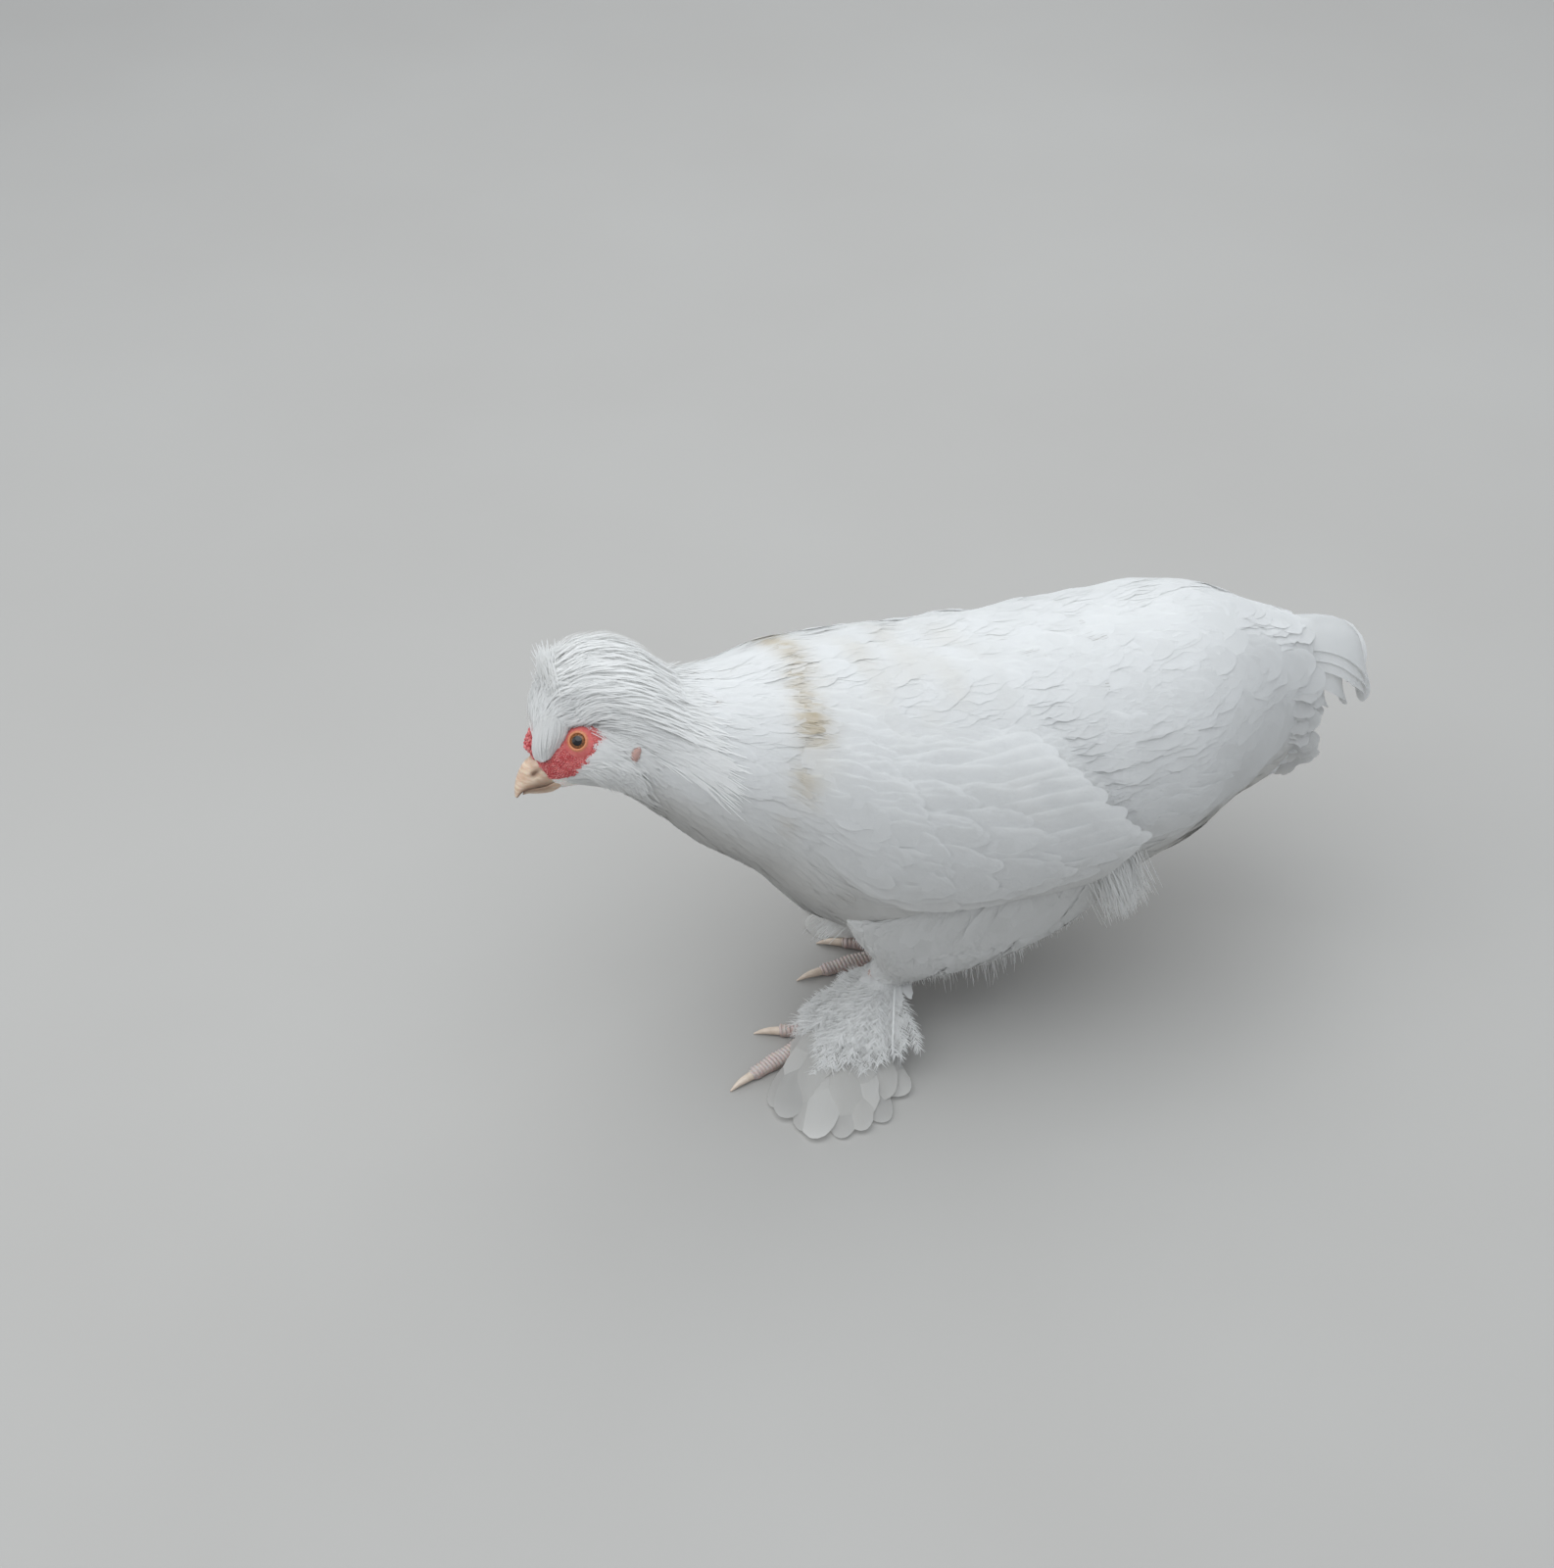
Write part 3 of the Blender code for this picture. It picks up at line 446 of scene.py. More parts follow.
def on_thigh(side, down, turn, lift=0.0):
    """Points over a thigh, and the way out of it. down runs from 0 in the flank to 1 at the hock, and on
    along the shank. turn (degrees) runs from behind round its outer side."""
    down, turn, lift = np.broadcast_arrays(np.asarray(down, float), np.asarray(turn, float), lift)
    x, y, z = HOCKS[side]
    hock = (1.0, z, x, HOCK_RADIUS, abs(y), HOCK_RADIUS)
    foot = (*SHANK_FOOT, FOOT_AT[side][0], SHANK_RADIUS, abs(FOOT_AT[side][1]), SHANK_RADIUS)
    table = np.array(THIGH + (hock, foot)).T

    def point(down, turn):
        z, x, half_x, y, half_y = (np.interp(down, table[0], row) for row in table[1:])
        turn = np.radians(turn)
        pulled_in = (0.20 + 0.14 * ramp(0.3 - down, 0, 0.3)) * ramp(1.0 - down, 0, 0.12)
        half_x = half_x * np.where(np.cos(turn) < 0, 1 - pulled_in * np.cos(turn) ** 2, 1)
        return np.stack((x + half_x * np.cos(turn), side * (y + half_y * np.sin(turn)), z), -1) + stand

    here = point(down, turn)
    out = unit(np.cross(point(down + 0.04, turn) - point(down - 0.04, turn),
                        point(down, turn + 4) - point(down, turn - 4)))
    away = here - point(down, turn + 180)
    out *= np.where((out * away).sum(-1, keepdims=True) < 0, -1, 1)
    return here + out * lift[..., None], out


THIGH_INSET = 0.004
thighs = []
for word, side in SIDES.items():
    down, turn = np.meshgrid(np.linspace(0, 1, 30), np.arange(64) * 360 / 64, indexing="ij")
    rings = on_thigh(side, down, turn, -THIGH_INSET)[0]
    thighs.append(closed_tube("thigh_" + word + "_skin", rings, skin_look))
for thigh in thighs:
    step = skin.modifiers.new("grown_in", "BOOLEAN")
    step.operation, step.object, step.solver = "UNION", thigh, "MANIFOLD"
bpy.context.view_layer.update()
whole = bpy.data.meshes.new_from_object(skin.evaluated_get(bpy.context.evaluated_depsgraph_get()))
skin.modifiers.clear()
skin.data = whole
whole.polygons.foreach_set("use_smooth", [True] * len(whole.polygons))
for thigh in thighs:
    bpy.data.objects.remove(thigh)


def values_near(points, values):
    """A function that gives the value of the point nearest to a place."""
    tree = kdtree.KDTree(len(points))
    for i, point in enumerate(points):
        tree.insert(point, i)
    tree.balance()
    return lambda place: values[tree.find(place)[1]]


front = grid_x < FACE_END
bare_at = values_near(on_body(grid_x, grid_angle, lift)[0][front], bare_here[front])
head_rear = stand[0] + FACE_END
numbers(skin, "bare", [bare_at(v.co) if v.co.x < head_rear else 0.0 for v in whole.vertices])
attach(skin, "root")
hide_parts("torso", "neck", "head", "thigh_left", "thigh_right")


# Face grain: the bare skin is set all over with tiny red beads, close together and uneven in size. The same
# beads, larger, cover the low comb that runs up from the bill's root.
BEAD_SIZES, BEADS_A_SQUARE_METRE = (0.65, 1.25), 6e6


def bead_tree(name, look, keep_ground):
    """Geometry Nodes that strew beads over a mesh where its point number "bare" is high. keep_ground keeps
    the mesh under them, and makes the beads rounder."""
    tree = bpy.data.node_groups.new(name, "GeometryNodeTree")
    for word, kind in (("Ground", "Geometry"), ("Spacing", "Float"), ("Bead", "Float"), ("Seed", "Int")):
        tree.interface.new_socket(word, in_out="INPUT", socket_type="NodeSocket" + kind)
    tree.interface.new_socket("Beads", in_out="OUTPUT", socket_type="NodeSocketGeometry")
    wire = Wire(tree)
    ground, spacing, bead, seed = (wire.node("NodeGroupInput", out=k) for k in range(4))
    where = wire.node("GeometryNodeInputNamedAttribute", {"data_type": "FLOAT"}, {"Name": "bare"})
    points = wire.node("GeometryNodeDistributePointsOnFaces", {"distribute_method": "POISSON"}, {
        "Mesh": ground, "Distance Min": spacing, "Density Max": BEADS_A_SQUARE_METRE, "Density Factor": where,
        "Seed": seed})
    ball = wire.node("GeometryNodeMeshIcoSphere", (), {
        "Radius": 1.0, "Subdivisions": 2 if keep_ground else 1})
    size = wire.node("FunctionNodeRandomValue", {"data_type": "FLOAT"}, {
        2: BEAD_SIZES[0], 3: BEAD_SIZES[1], "Seed": seed}, out=1)
    beads = wire.node("GeometryNodeInstanceOnPoints", (), {
        "Points": points, "Instance": ball, "Scale": bead * size})
    beads = wire.node("GeometryNodeRealizeInstances", (), {"Geometry": beads})
    beads = wire.node("GeometryNodeSetShadeSmooth", (), {"Geometry": beads})
    if keep_ground:
        joined = tree.nodes.new("GeometryNodeJoinGeometry")
        tree.links.new(beads.socket, joined.inputs[0])
        tree.links.new(ground.socket, joined.inputs[0])
        beads = Wire(tree, joined.outputs[0])
    beads = wire.node("GeometryNodeSetMaterial", (), {"Geometry": beads, "Material": look})
    tree.links.new(beads.socket, tree.nodes.new("NodeGroupOutput").inputs[0])
    return tree


def grown(name, ground, tree, **inputs):
    """The plain mesh that a tree makes on an object, as a new object."""
    step = ground.modifiers.new(name, "NODES")
    step.node_group = tree
    for item in tree.interface.items_tree:
        if item.name in inputs:
            step[item.identifier] = inputs[item.name]
    bpy.context.view_layer.update()
    mesh = bpy.data.meshes.new_from_object(ground.evaluated_get(bpy.context.evaluated_depsgraph_get()))
    ground.modifiers.remove(step)
    made = bpy.data.objects.new(name, mesh)
    bpy.context.scene.collection.objects.link(made)
    return made


FACE_SPACING, FACE_BEAD = 0.00075, 0.00038
red_look, wire, shader = finish("red_beaded_skin", Subsurface_Weight=0.2, Subsurface_Scale=0.001, IOR=1.4)
blush = grain(wire, 420.0)
dress(wire, shader, colour=blush.step(0.3, 0.7).tint((0.47, 0.055, 0.065, 1), (0.70, 0.25, 0.24, 1)),
      roughness=0.34 + grain(wire, 2600.0) * 0.25, relief=grain(wire, 3000.0), height=0.0001)
face_grain = grown("face_grain", skin, bead_tree("face_beads", red_look, False),
                   Spacing=FACE_SPACING, Bead=FACE_BEAD, Seed=4)
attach(face_grain, "root")
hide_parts("head")


# Eyes: wet, dark-rimmed balls with an amber-brown iris and a round black pupil. Each sits in a thin, wrinkled
# ring of lid, orange-brown at its edge, that rises out of the red skin and covers all but the ball's front.
EYE_X, EYE_ANGLE, EYE_RADIUS, EYE_SINK = -0.1125, 64, 0.0046, 0.0016
PUPIL, IRIS = 25, 50  # degrees from the eye's axis
EYE_COLUMNS, LID_COLUMNS = 48, 72
# mm out from the eye's axis and ahead of its middle, from the lid's edge over its outside to its inside
LID = ((3.00, 3.20), (3.02, 3.55), (3.22, 3.80), (3.60, 3.86), (4.00, 3.55), (4.45, 3.00), (5.00, 2.30),
       (5.70, 1.50), (6.50, 0.60), (6.50, -0.60), (4.00, -0.60), (2.90, 2.00))


def turned(side, radius, ahead, columns):
    """Rings turned round the eye's axis, so many metres out from it and ahead of the eye's middle."""
    centre, out = on_body(EYE_X, side * EYE_ANGLE, -EYE_SINK)
    across = unit(np.cross(out, (0, 0, 1.0)))
    upward = np.cross(across, out)
    turn = np.arange(columns) * 2 * math.pi / columns
    ring = np.cos(turn)[:, None] * across + np.sin(turn)[:, None] * upward
    ahead = np.broadcast_to(ahead, (len(radius), columns))[..., None]
    return centre + ring * np.asarray(radius)[:, None, None] + out * ahead


eye_look, wire, shader = finish("amber_eye", Roughness=0.12, Coat_Weight=0.4, Coat_Roughness=0.02,
                                Specular_IOR_Level=0.3)
polar = wire.node("ShaderNodeAttribute", {"attribute_name": "polar"}, out=2)
streaks = grain(wire, 1500.0)
iris = streaks.step(0.3, 0.7).tint((0.085, 0.028, 0.010, 1), (0.24, 0.095, 0.028, 1))
iris = polar.step(IRIS - 9, IRIS).tint(iris, (0.03, 0.012, 0.006, 1))
dress(wire, shader, colour=polar.step(PUPIL - 1.5, PUPIL + 1.5).tint((0.004, 0.004, 0.005, 1), iris))
lid_look, wire, shader = finish("eyelid", Subsurface_Weight=0.2, Subsurface_Scale=0.001)
rim = wire.node("ShaderNodeAttribute", {"attribute_name": "rim"}, out=2)
edge = grain(wire, 700.0).tint((0.50, 0.16, 0.07, 1), (0.62, 0.27, 0.13, 1))
lid_red = grain(wire, 420.0).tint((0.58, 0.08, 0.08, 1), (0.78, 0.24, 0.22, 1))
dress(wire, shader, colour=rim.tint(lid_red, edge),
      roughness=0.36 + grain(wire, 2600.0) * 0.2, relief=grain(wire, 1800.0), height=0.00012)
for word, side in SIDES.items():
    from_axis = np.linspace(0.5, 179.5, 60)
    bulge = EYE_RADIUS * (1 + 0.035 * hump(from_axis, 0, 34))
    from_axis = np.radians(from_axis)
    rings = turned(side, bulge * np.sin(from_axis), (bulge * np.cos(from_axis))[:, None], EYE_COLUMNS)
    eye = closed_tube("eye_" + word + "_ball", rings, eye_look)
    centre, out = on_body(EYE_X, side * EYE_ANGLE, -EYE_SINK)
    spots = np.array([v.co for v in eye.data.vertices]) - centre
    numbers(eye, "polar", np.degrees(np.arccos(np.clip(unit(spots) @ out, -1, 1))))
    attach(eye, "root")
    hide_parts("eye_" + word)

    radius, ahead = np.array(LID).T / 1000
    turn = np.arange(LID_COLUMNS) * 2 * math.pi / LID_COLUMNS
    wrinkle = 0.00008 * np.sin(turn * 23) + 0.00005 * np.sin(turn * 37 + 1)
    rings = turned(side, radius, ahead[:, None] + wrinkle, LID_COLUMNS)
    here = np.arange(LID_COLUMNS)
    beside, last = (here + 1) % LID_COLUMNS, (len(rings) - 1) * LID_COLUMNS
    closing = np.stack((here, beside, last + beside, last + here), -1)
    faces = np.concatenate((tube_faces(len(rings), LID_COLUMNS), closing))
    lid = mesh_piece("lid_" + word, rings, faces, lid_look)
    face_out(lid)
    away = np.linalg.norm(np.cross(np.array([v.co for v in lid.data.vertices]) - centre, out), axis=1)
    numbers(lid, "rim", 1 - ramp(away, 0.0038, 0.0046))
    smoother = lid.modifiers.new("rounded", "SUBSURF")
    smoother.levels = smoother.render_levels = 1
    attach(lid, "root")
    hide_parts("head")


# Bill: two horn halves that meet along the mouth, yellowish pink, darker and chipped brown at their edges,
# with a brown slit of a nostril under a low flap on each side.
BILL = (
    # (ahead of the head, height) of the ridge, of the mouth line and of the keel, and the half width
    ((0.0000, 0.0089), (0.0000, -0.0049), (0.0000, -0.0088), 0.0066),
    ((0.0056, 0.0084), (0.0048, -0.0032), (0.0046, -0.0074), 0.0051),
    ((0.0108, 0.0060), (0.0095, -0.0011), (0.0088, -0.0049), 0.0037),
    ((0.0146, 0.0030), (0.0130, -0.0003), (0.0116, -0.0026), 0.0024),
    ((0.0170, 0.0000), (0.0166, -0.0010), (0.0136, -0.0016), 0.0008),
)
BILL_ROOT, BILL_SUNK, BILL_GAP, NOSTRIL = -0.129, 0.0035, 0.0001, (0.0042, 0.0030)
BILL_ROWS, SUNK_ROWS = 34, 6


def smooth_rows(table, count):
    """So many rows on smooth curves through the rows of a table."""
    table = np.array(table)
    ends = np.concatenate((2 * table[:1] - table[1:2], table, 2 * table[-1:] - table[-2:-1]))
    rows = []
    for t in np.linspace(0, len(table) - 1.0001, count):
        i, f = int(t), t - int(t)
        a, b, c, d = ends[i:i + 4]
        rows.append(b + 0.5 * f * (c - a + f * (2 * a - 5 * b + 4 * c - d + f * (3 * (b - c) + d - a))))
    return np.array(rows)


horn_look, wire, shader = finish("bill_horn", Coat_Weight=0.15, Subsurface_Weight=0.15,
                                 Subsurface_Scale=0.002)
worn = wire.node("ShaderNodeAttribute", {"attribute_name": "worn"}, out=2)
growth = grain(wire, 260.0, 4.0, (1.0, 1.0, 3.0))
horn = growth.step(0.3, 0.75).tint((0.56, 0.38, 0.27, 1), (0.74, 0.60, 0.46, 1))
brown = (worn + (growth - 0.5) * 0.7 * worn).clamp()
dress(wire, shader, colour=brown.tint(horn, (0.16, 0.085, 0.050, 1)), roughness=0.34 + growth * 0.2,
      relief=growth, height=0.00015)
centre, up, right = (v[0] for v in body_axes(np.array([BILL_ROOT])))
forward = np.cross(up, right)
forward *= -np.sign(forward[0])
for name, upper in (("bill_upper", True), ("bill_lower", False)):
    table = smooth_rows([(*ridge, *mouth, *keel, half) for ridge, mouth, keel, half in BILL], BILL_ROWS)
    gap = BILL_GAP if upper else -BILL_GAP
    arc = np.linspace(0, math.pi, 41)
    rings, edges = [], []
    for i, (ridge_on, ridge_up, mouth_on, mouth_up, keel_on, keel_up, half) in enumerate(table):
        far = np.array((ridge_on, ridge_up) if upper else (keel_on, keel_up))
        near = np.array((mouth_on if upper else min(mouth_on, keel_on + 0.0004), mouth_up))
        share = np.sin(arc)[:, None] ** 0.8
        ahead, height = (near + (far - near) * share).T
        sunk = -BILL_SUNK * (1 - i / SUNK_ROWS) if i < SUNK_ROWS else 0.0
        out_by = np.cos(arc) * half * (1 - 0.10 * np.sin(arc) ** 6 * upper)
        flap = np.exp(-((ahead - NOSTRIL[0]) / 0.0018) ** 2 - ((height - NOSTRIL[1]) / 0.0011) ** 2) * upper
        aside = out_by - np.sign(np.cos(arc)) * flap * 0.0008
        rings.append(centre + forward * (ahead + sunk)[:, None] + up * (height + gap)[:, None]
                     + right * aside[:, None])
        near_edge = np.exp(-((np.minimum(arc, math.pi - arc)) / (0.22 if upper else 0.5)) ** 2)
        worn_edge = near_edge * ramp(i / (BILL_ROWS - 1), 0.0, 0.2) * (0.9 if upper else 0.8)
        edges.append(np.maximum(worn_edge, flap * 1.2))
    half = closed_tube(name, rings, horn_look)
    worn_at = values_near(np.concatenate(rings), np.concatenate(edges))
    numbers(half, "worn", [worn_at(v.co) for v in half.data.vertices])
    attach(half, "root")
    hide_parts("beak_upper" if upper else "beak_lower")


# Comb: a low strip of soft red skin, three or four beads wide, that grows out of the forehead. It runs from
# the bill's root up the middle, as a cushion strewn with beads larger than the face's.
COMB_ENDS, COMB_WIDTH, COMB_HEIGHT = (-0.1290, -0.1185), 26, 0.0052
COMB_SPACING, COMB_BEAD = 0.0014, 0.00085
f, g = np.meshgrid(np.linspace(0, 1, 26), np.linspace(0, 1, 26), indexing="ij")
over = COMB_HEIGHT * (np.sin(math.pi * np.clip(f * 0.9 + 0.1, 0, 1)) * np.sin(math.pi * g)) ** 0.5
comb_x, comb_angle = COMB_ENDS[0] + (COMB_ENDS[1] - COMB_ENDS[0]) * f, COMB_WIDTH * (2 * g - 1)
top, under = on_body(comb_x, comb_angle, over)[0], on_body(comb_x, comb_angle, -0.001)[0][:, ::-1]
comb_core = closed_tube("comb_core", np.concatenate((top, under), axis=1), red_look)
numbers(comb_core, "bare", np.ones(len(comb_core.data.vertices)))
comb = grown("comb_beads", comb_core, bead_tree("comb_beads", red_look, True),
             Spacing=COMB_SPACING, Bead=COMB_BEAD, Seed=9)
bpy.data.objects.remove(comb_core)
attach(comb, "root")
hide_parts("comb")


# Plumage: small white feathers that lie back along the body in staggered rows, each a bowed blade with a
# soft, frayed edge. They are narrow on the neck and broad and fluffy on the back, the breast and the belly.
feather_look, wire, shader = finish("white_feather", Sheen_Weight=0.15, Sheen_Roughness=0.6,
                                    Specular_IOR_Level=0.2)
marks = wire.node("ShaderNodeAttribute", {"attribute_name": "marks"}, out=0)
tone = wire.node("ShaderNodeAttribute", {"attribute_name": "marks"}, out=3)
buff, dirt, grey = (marks.part(k) for k in range(3))
blade = wire.node("ShaderNodeUVMap", {"uv_map": "blade"})
across, along = abs(blade.part(0)), blade.part(1)
barbs = (along * 95.0 - across * 110.0).of("SINE", (along - across * 1.15) * 120.0)
clumps = wire.node("ShaderNodeTexNoise", (), {
    "Vector": wire.node("ShaderNodeCombineXYZ", (), {0: (along - across * 1.1) * 9.0, 1: tone * 40.0}),
    "Scale": 3.0, "Detail": 2.0})
streak = wire.node("ShaderNodeTexNoise", (), {
    "Vector": wire.node("ShaderNodeCombineXYZ", (), {0: blade.part(0) * 9.0, 1: tone * 40.0, 2: along * 0.5}),
    "Scale": 3.0, "Detail": 2.0})
white = tone.tint((0.835, 0.835, 0.82, 1), (0.895, 0.895, 0.885, 1))
white = (clumps.step(0.3, 0.8) * 0.5).tint(white, (0.91, 0.915, 0.92, 1))
colour = (buff * (0.35 + streak * 1.1)).clamp().tint(white, (0.60, 0.50, 0.34, 1))
# Grey: a faint tint on plain feathers and the boots' vanes, and painted shade under the front of the breast
colour = grey.clamp().tint(colour, (0.42, 0.42, 0.42, 1))
colour = (dirt * streak.step(0.50, 0.66)).clamp().tint(colour, (0.16, 0.13, 0.09, 1))
dress(wire, shader, colour=colour, roughness=0.62 + clumps * 0.2,
      relief=clumps * 0.75 + barbs * 0.12, height=0.00012, strength=0.5)
LIGHT_THROUGH = 0.5
through = wire.node("ShaderNodeBsdfTranslucent", (), {"Color": (0.90, 0.90, 0.89, 1)})
both = wire.node("ShaderNodeMixShader", (), {
    0: LIGHT_THROUGH, 1: Wire(wire.tree, shader.outputs[0]), 2: through})
wire.tree.links.new(both.socket, wire.tree.nodes["Material Output"].inputs["Surface"])


# The unwrapped skin: where it starts along her, its length and the height of its axis, and how wide and long
# a feather shows on it
BAKE_START, BAKE_LENGTH, BAKE_AXIS, BAKE_WIDE, BAKE_LONG = -0.14, 0.38, 0.115, 0.0015, 0.003
GROUND_GAP = 0.0002


def sheets(centres, faces_to, halves, columns, bow, roll, frayed, softness, shade_to=None):
    """Feathers as bowed sheets. centres (feather, row, 3) run down their midribs, faces_to is the way each
    row looks, and halves its half width. bow is how round they are across (1/m), roll how far they lean
    (degrees) and frayed how uneven their edge is. softness turns their shading towards shade_to, the way of
    the whole coat."""
    count, rows = halves.shape
    ways = unit(np.gradient(centres, axis=1))
    faces_to = np.broadcast_to(faces_to, centres.shape)
    sides = unit(np.cross(ways, faces_to))
    outs = np.cross(sides, ways)
    turn = np.radians(np.broadcast_to(roll, (count,)))[:, None, None]
    sides, outs = sides * np.cos(turn) + outs * np.sin(turn), outs * np.cos(turn) - sides * np.sin(turn)
    share = np.linspace(-1, 1, columns + 1)
    torn = 1 - frayed * CHANCE.random((count, rows, columns + 1)) * np.abs(share) ** 3
    wide = halves[..., None] * share * torn
    points = (centres[:, :, None] + sides[:, :, None] * wide[..., None]
              - outs[:, :, None] * (bow * wide**2)[..., None])
    runs = np.linalg.norm(np.diff(centres, axis=1), axis=2)
    along = np.concatenate((np.zeros((count, 1)), np.cumsum(runs, axis=1)), axis=1)
    f = along / along[:, -1:]
    shades = unit(outs[:, :, None] + sides[:, :, None] * (2 * bow * wide)[..., None])
    shade_to = faces_to if shade_to is None else shade_to
    shades = unit(shades * (1 - softness) + shade_to[:, :, None] * softness)
    blade = np.stack((wide * 100, np.broadcast_to(along[..., None] * 100, wide.shape)), -1)
    patch = np.stack(np.broadcast_arrays(share * BAKE_WIDE, (f[..., None] - 0.5) * BAKE_LONG), -1)
    x, y, z = (centres[:, 0] - stand).T
    around = 0.5 + np.arctan2(y, z - BAKE_AXIS) * 0.49 / math.pi
    roots = np.stack((np.clip((x - BAKE_START) / BAKE_LENGTH, 0.01, 0.99), around), -1)
    return dict(points=points, shades=shades, blade=blade, bake=patch + roots[:, None, None])


def steps_down(rows):
    """Shares of a feather's length, closer together towards its round tip."""
    return np.sin(np.linspace(0, math.pi / 2, rows))


def plain_marks(count, rows, buff=0.05, grey=0.02):
    """The marks of plain white feathers: the same buff and grey on all, and each one's own tone."""
    return np.zeros((count, rows, 4)) + (buff, 0, grey, 0) + CHANCE.random((count, 1, 1)) * (0, 0, 0, 1)


def plumage_piece(name, batches, nodes):
    """One piece from batches of feathers, each with its marks and its roots' places on the unwrapped skin."""
    points, faces, shades, blades, bakes, marks, start = [], [], [], [], [], [], 0
    for batch in batches:
        count, rows, columns = batch["points"].shape[:3]
        i, k = np.meshgrid(np.arange(rows - 1), np.arange(columns - 1), indexing="ij")
        corner = (i * columns + k).ravel()
        quad = np.stack((corner, corner + 1, corner + 1 + columns, corner + columns), -1)
        faces.append((quad[None] + start + np.arange(count)[:, None, None] * rows * columns).reshape(-1, 4))
        start += count * rows * columns
        points.append(batch["points"].reshape(-1, 3))
        shades.append(batch["shades"].reshape(-1, 3))
        blades.append(batch["blade"].reshape(-1, 2))
        bakes.append(batch["bake"].reshape(-1, 2))
        own = batch["marks"] if "marks" in batch else plain_marks(count, rows)
        marks.append(np.broadcast_to(own[:, :, None], (count, rows, columns, 4)).reshape(-1, 4))
    faces, points = np.concatenate(faces), np.concatenate(points)
    points[:, 2] = np.maximum(points[:, 2], GROUND_GAP)
    made = mesh_piece(name, points, faces, feather_look)
    for word, values in (("OFBake", np.concatenate(bakes)), ("blade", np.concatenate(blades))):
        layer = made.data.uv_layers.new(name=word)
        layer.data.foreach_set("uv", values[faces.ravel()].astype(np.float32).ravel())
    numbers(made, "marks", np.concatenate(marks), "FLOAT_COLOR")
    made.data.normals_split_custom_set_from_vertices(np.concatenate(shades).astype(np.float32))
    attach(made, "root")
    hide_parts(*nodes)


def blade_widths(half, rows, root=0.5, widest=0.6, tip=0.12):
    """Half widths of each feather from root to tip: narrow, swelling to the widest, then round."""
    f = steps_down(rows)
    swell = root + (1 - root) * ramp(f, 0, widest)
    close = np.sqrt(np.clip(1 - (np.clip(f - widest, 0, 1) / (1 - widest)) ** 2 * (1 - tip**2), 0, 1))
    return np.asarray(half)[:, None] * swell * close


ALL_ROUND = (-180.0, 180.0)


def sow(start, end, along, across, angles=ALL_ROUND):
    """Places (x, angle) spread over a stretch of the body in staggered rows, so many metres apart."""
    turns = np.linspace(*angles, 181)
    middles = (turns[1:] + turns[:-1]) / 2
    found, x = [], start
    while x < end:
        metres = stretch(np.full(len(middles), x), middles) * (turns[1] - turns[0])
        run = np.concatenate(([0], np.cumsum(metres)))
        count = max(2, int(run[-1] / across))
        at = (np.arange(count) + CHANCE.random()) / count * run[-1] + CHANCE.normal(0, across * 0.18, count)
        found.append(np.stack((x + CHANCE.normal(0, along * 0.25, count), np.interp(at, run, turns)), -1))
        x += along
    found = np.concatenate(found)
    found[:, 1] = (found[:, 1] + 180) % 360 - 180
    return found


BUFF_PATCHES = (
    # x, degrees from the top, reach along her and round her, strength
    (-0.0275, 5, 0.0055, 11, 0.75), (-0.0300, 22, 0.0050, 12, 0.55), (-0.0290, 40, 0.0065, 15, 0.95),
    (-0.0365, 68, 0.0050, 9, 0.70), (-0.0440, 92, 0.0040, 8, 0.25))


def plumage_marks(x, angle, tips):
    """The marks of each row of feathers: buff, dark strokes, grey that is painted shade under the front of
    the breast, and each feather's own tone.
    """
    side, count = np.abs(angle), len(x)
    band = sum(strength * hump(x, at, reach_x) * hump(side, about, reach_angle)
               for at, about, reach_x, reach_angle, strength in BUFF_PATCHES)
    cream = 0.22 * hump(x, 0.015, 0.030) * hump(angle, -4, 30) * (0.5 + 0.7 * ripple(x, angle, 0.02, 8))
    chosen = CHANCE.random((count, 1))
    under = 0.20 * ramp(side, 92, 135)
    buff = np.clip(band * (0.2 + 0.95 * CHANCE.random((count, 1))) + np.clip(cream, 0, 1) + under, 0, 1)
    strokes = np.clip(band * 1.3, 0, 1) * (chosen > 0.45) * ramp(tips, 0.2, 0.7) * 0.85
    flecks = (chosen < 0.008) * ramp(tips, 0.5, 0.8) * (x > -0.04) * (x < 0.13) * 0.7
    # Painted shade: grey on the underside of the neck and breast, darkest underneath
    shaded = 0.5 * ramp(side, 96, 150) * ramp(-x, -0.03, 0.03)
    tone = np.broadcast_to(CHANCE.random((count, 1)), x.shape)
    return np.stack((buff, np.clip(strokes + flecks, 0, 1), shaded, tone), -1)


COAT_START, COAT_END = -0.1285, 0.2185
RUMP = ((50, COAT_END), (90, 0.199), (180, 0.192))  # degrees from the top, and x where the feathers end there


def on_coat(x, angle, lift):
    """Points over the body with its plumage's swellings, and the way out of it there."""
    x = np.clip(x, COAT_START, COAT_END)
    return on_body(x, angle, fullness(x, angle) + lift)


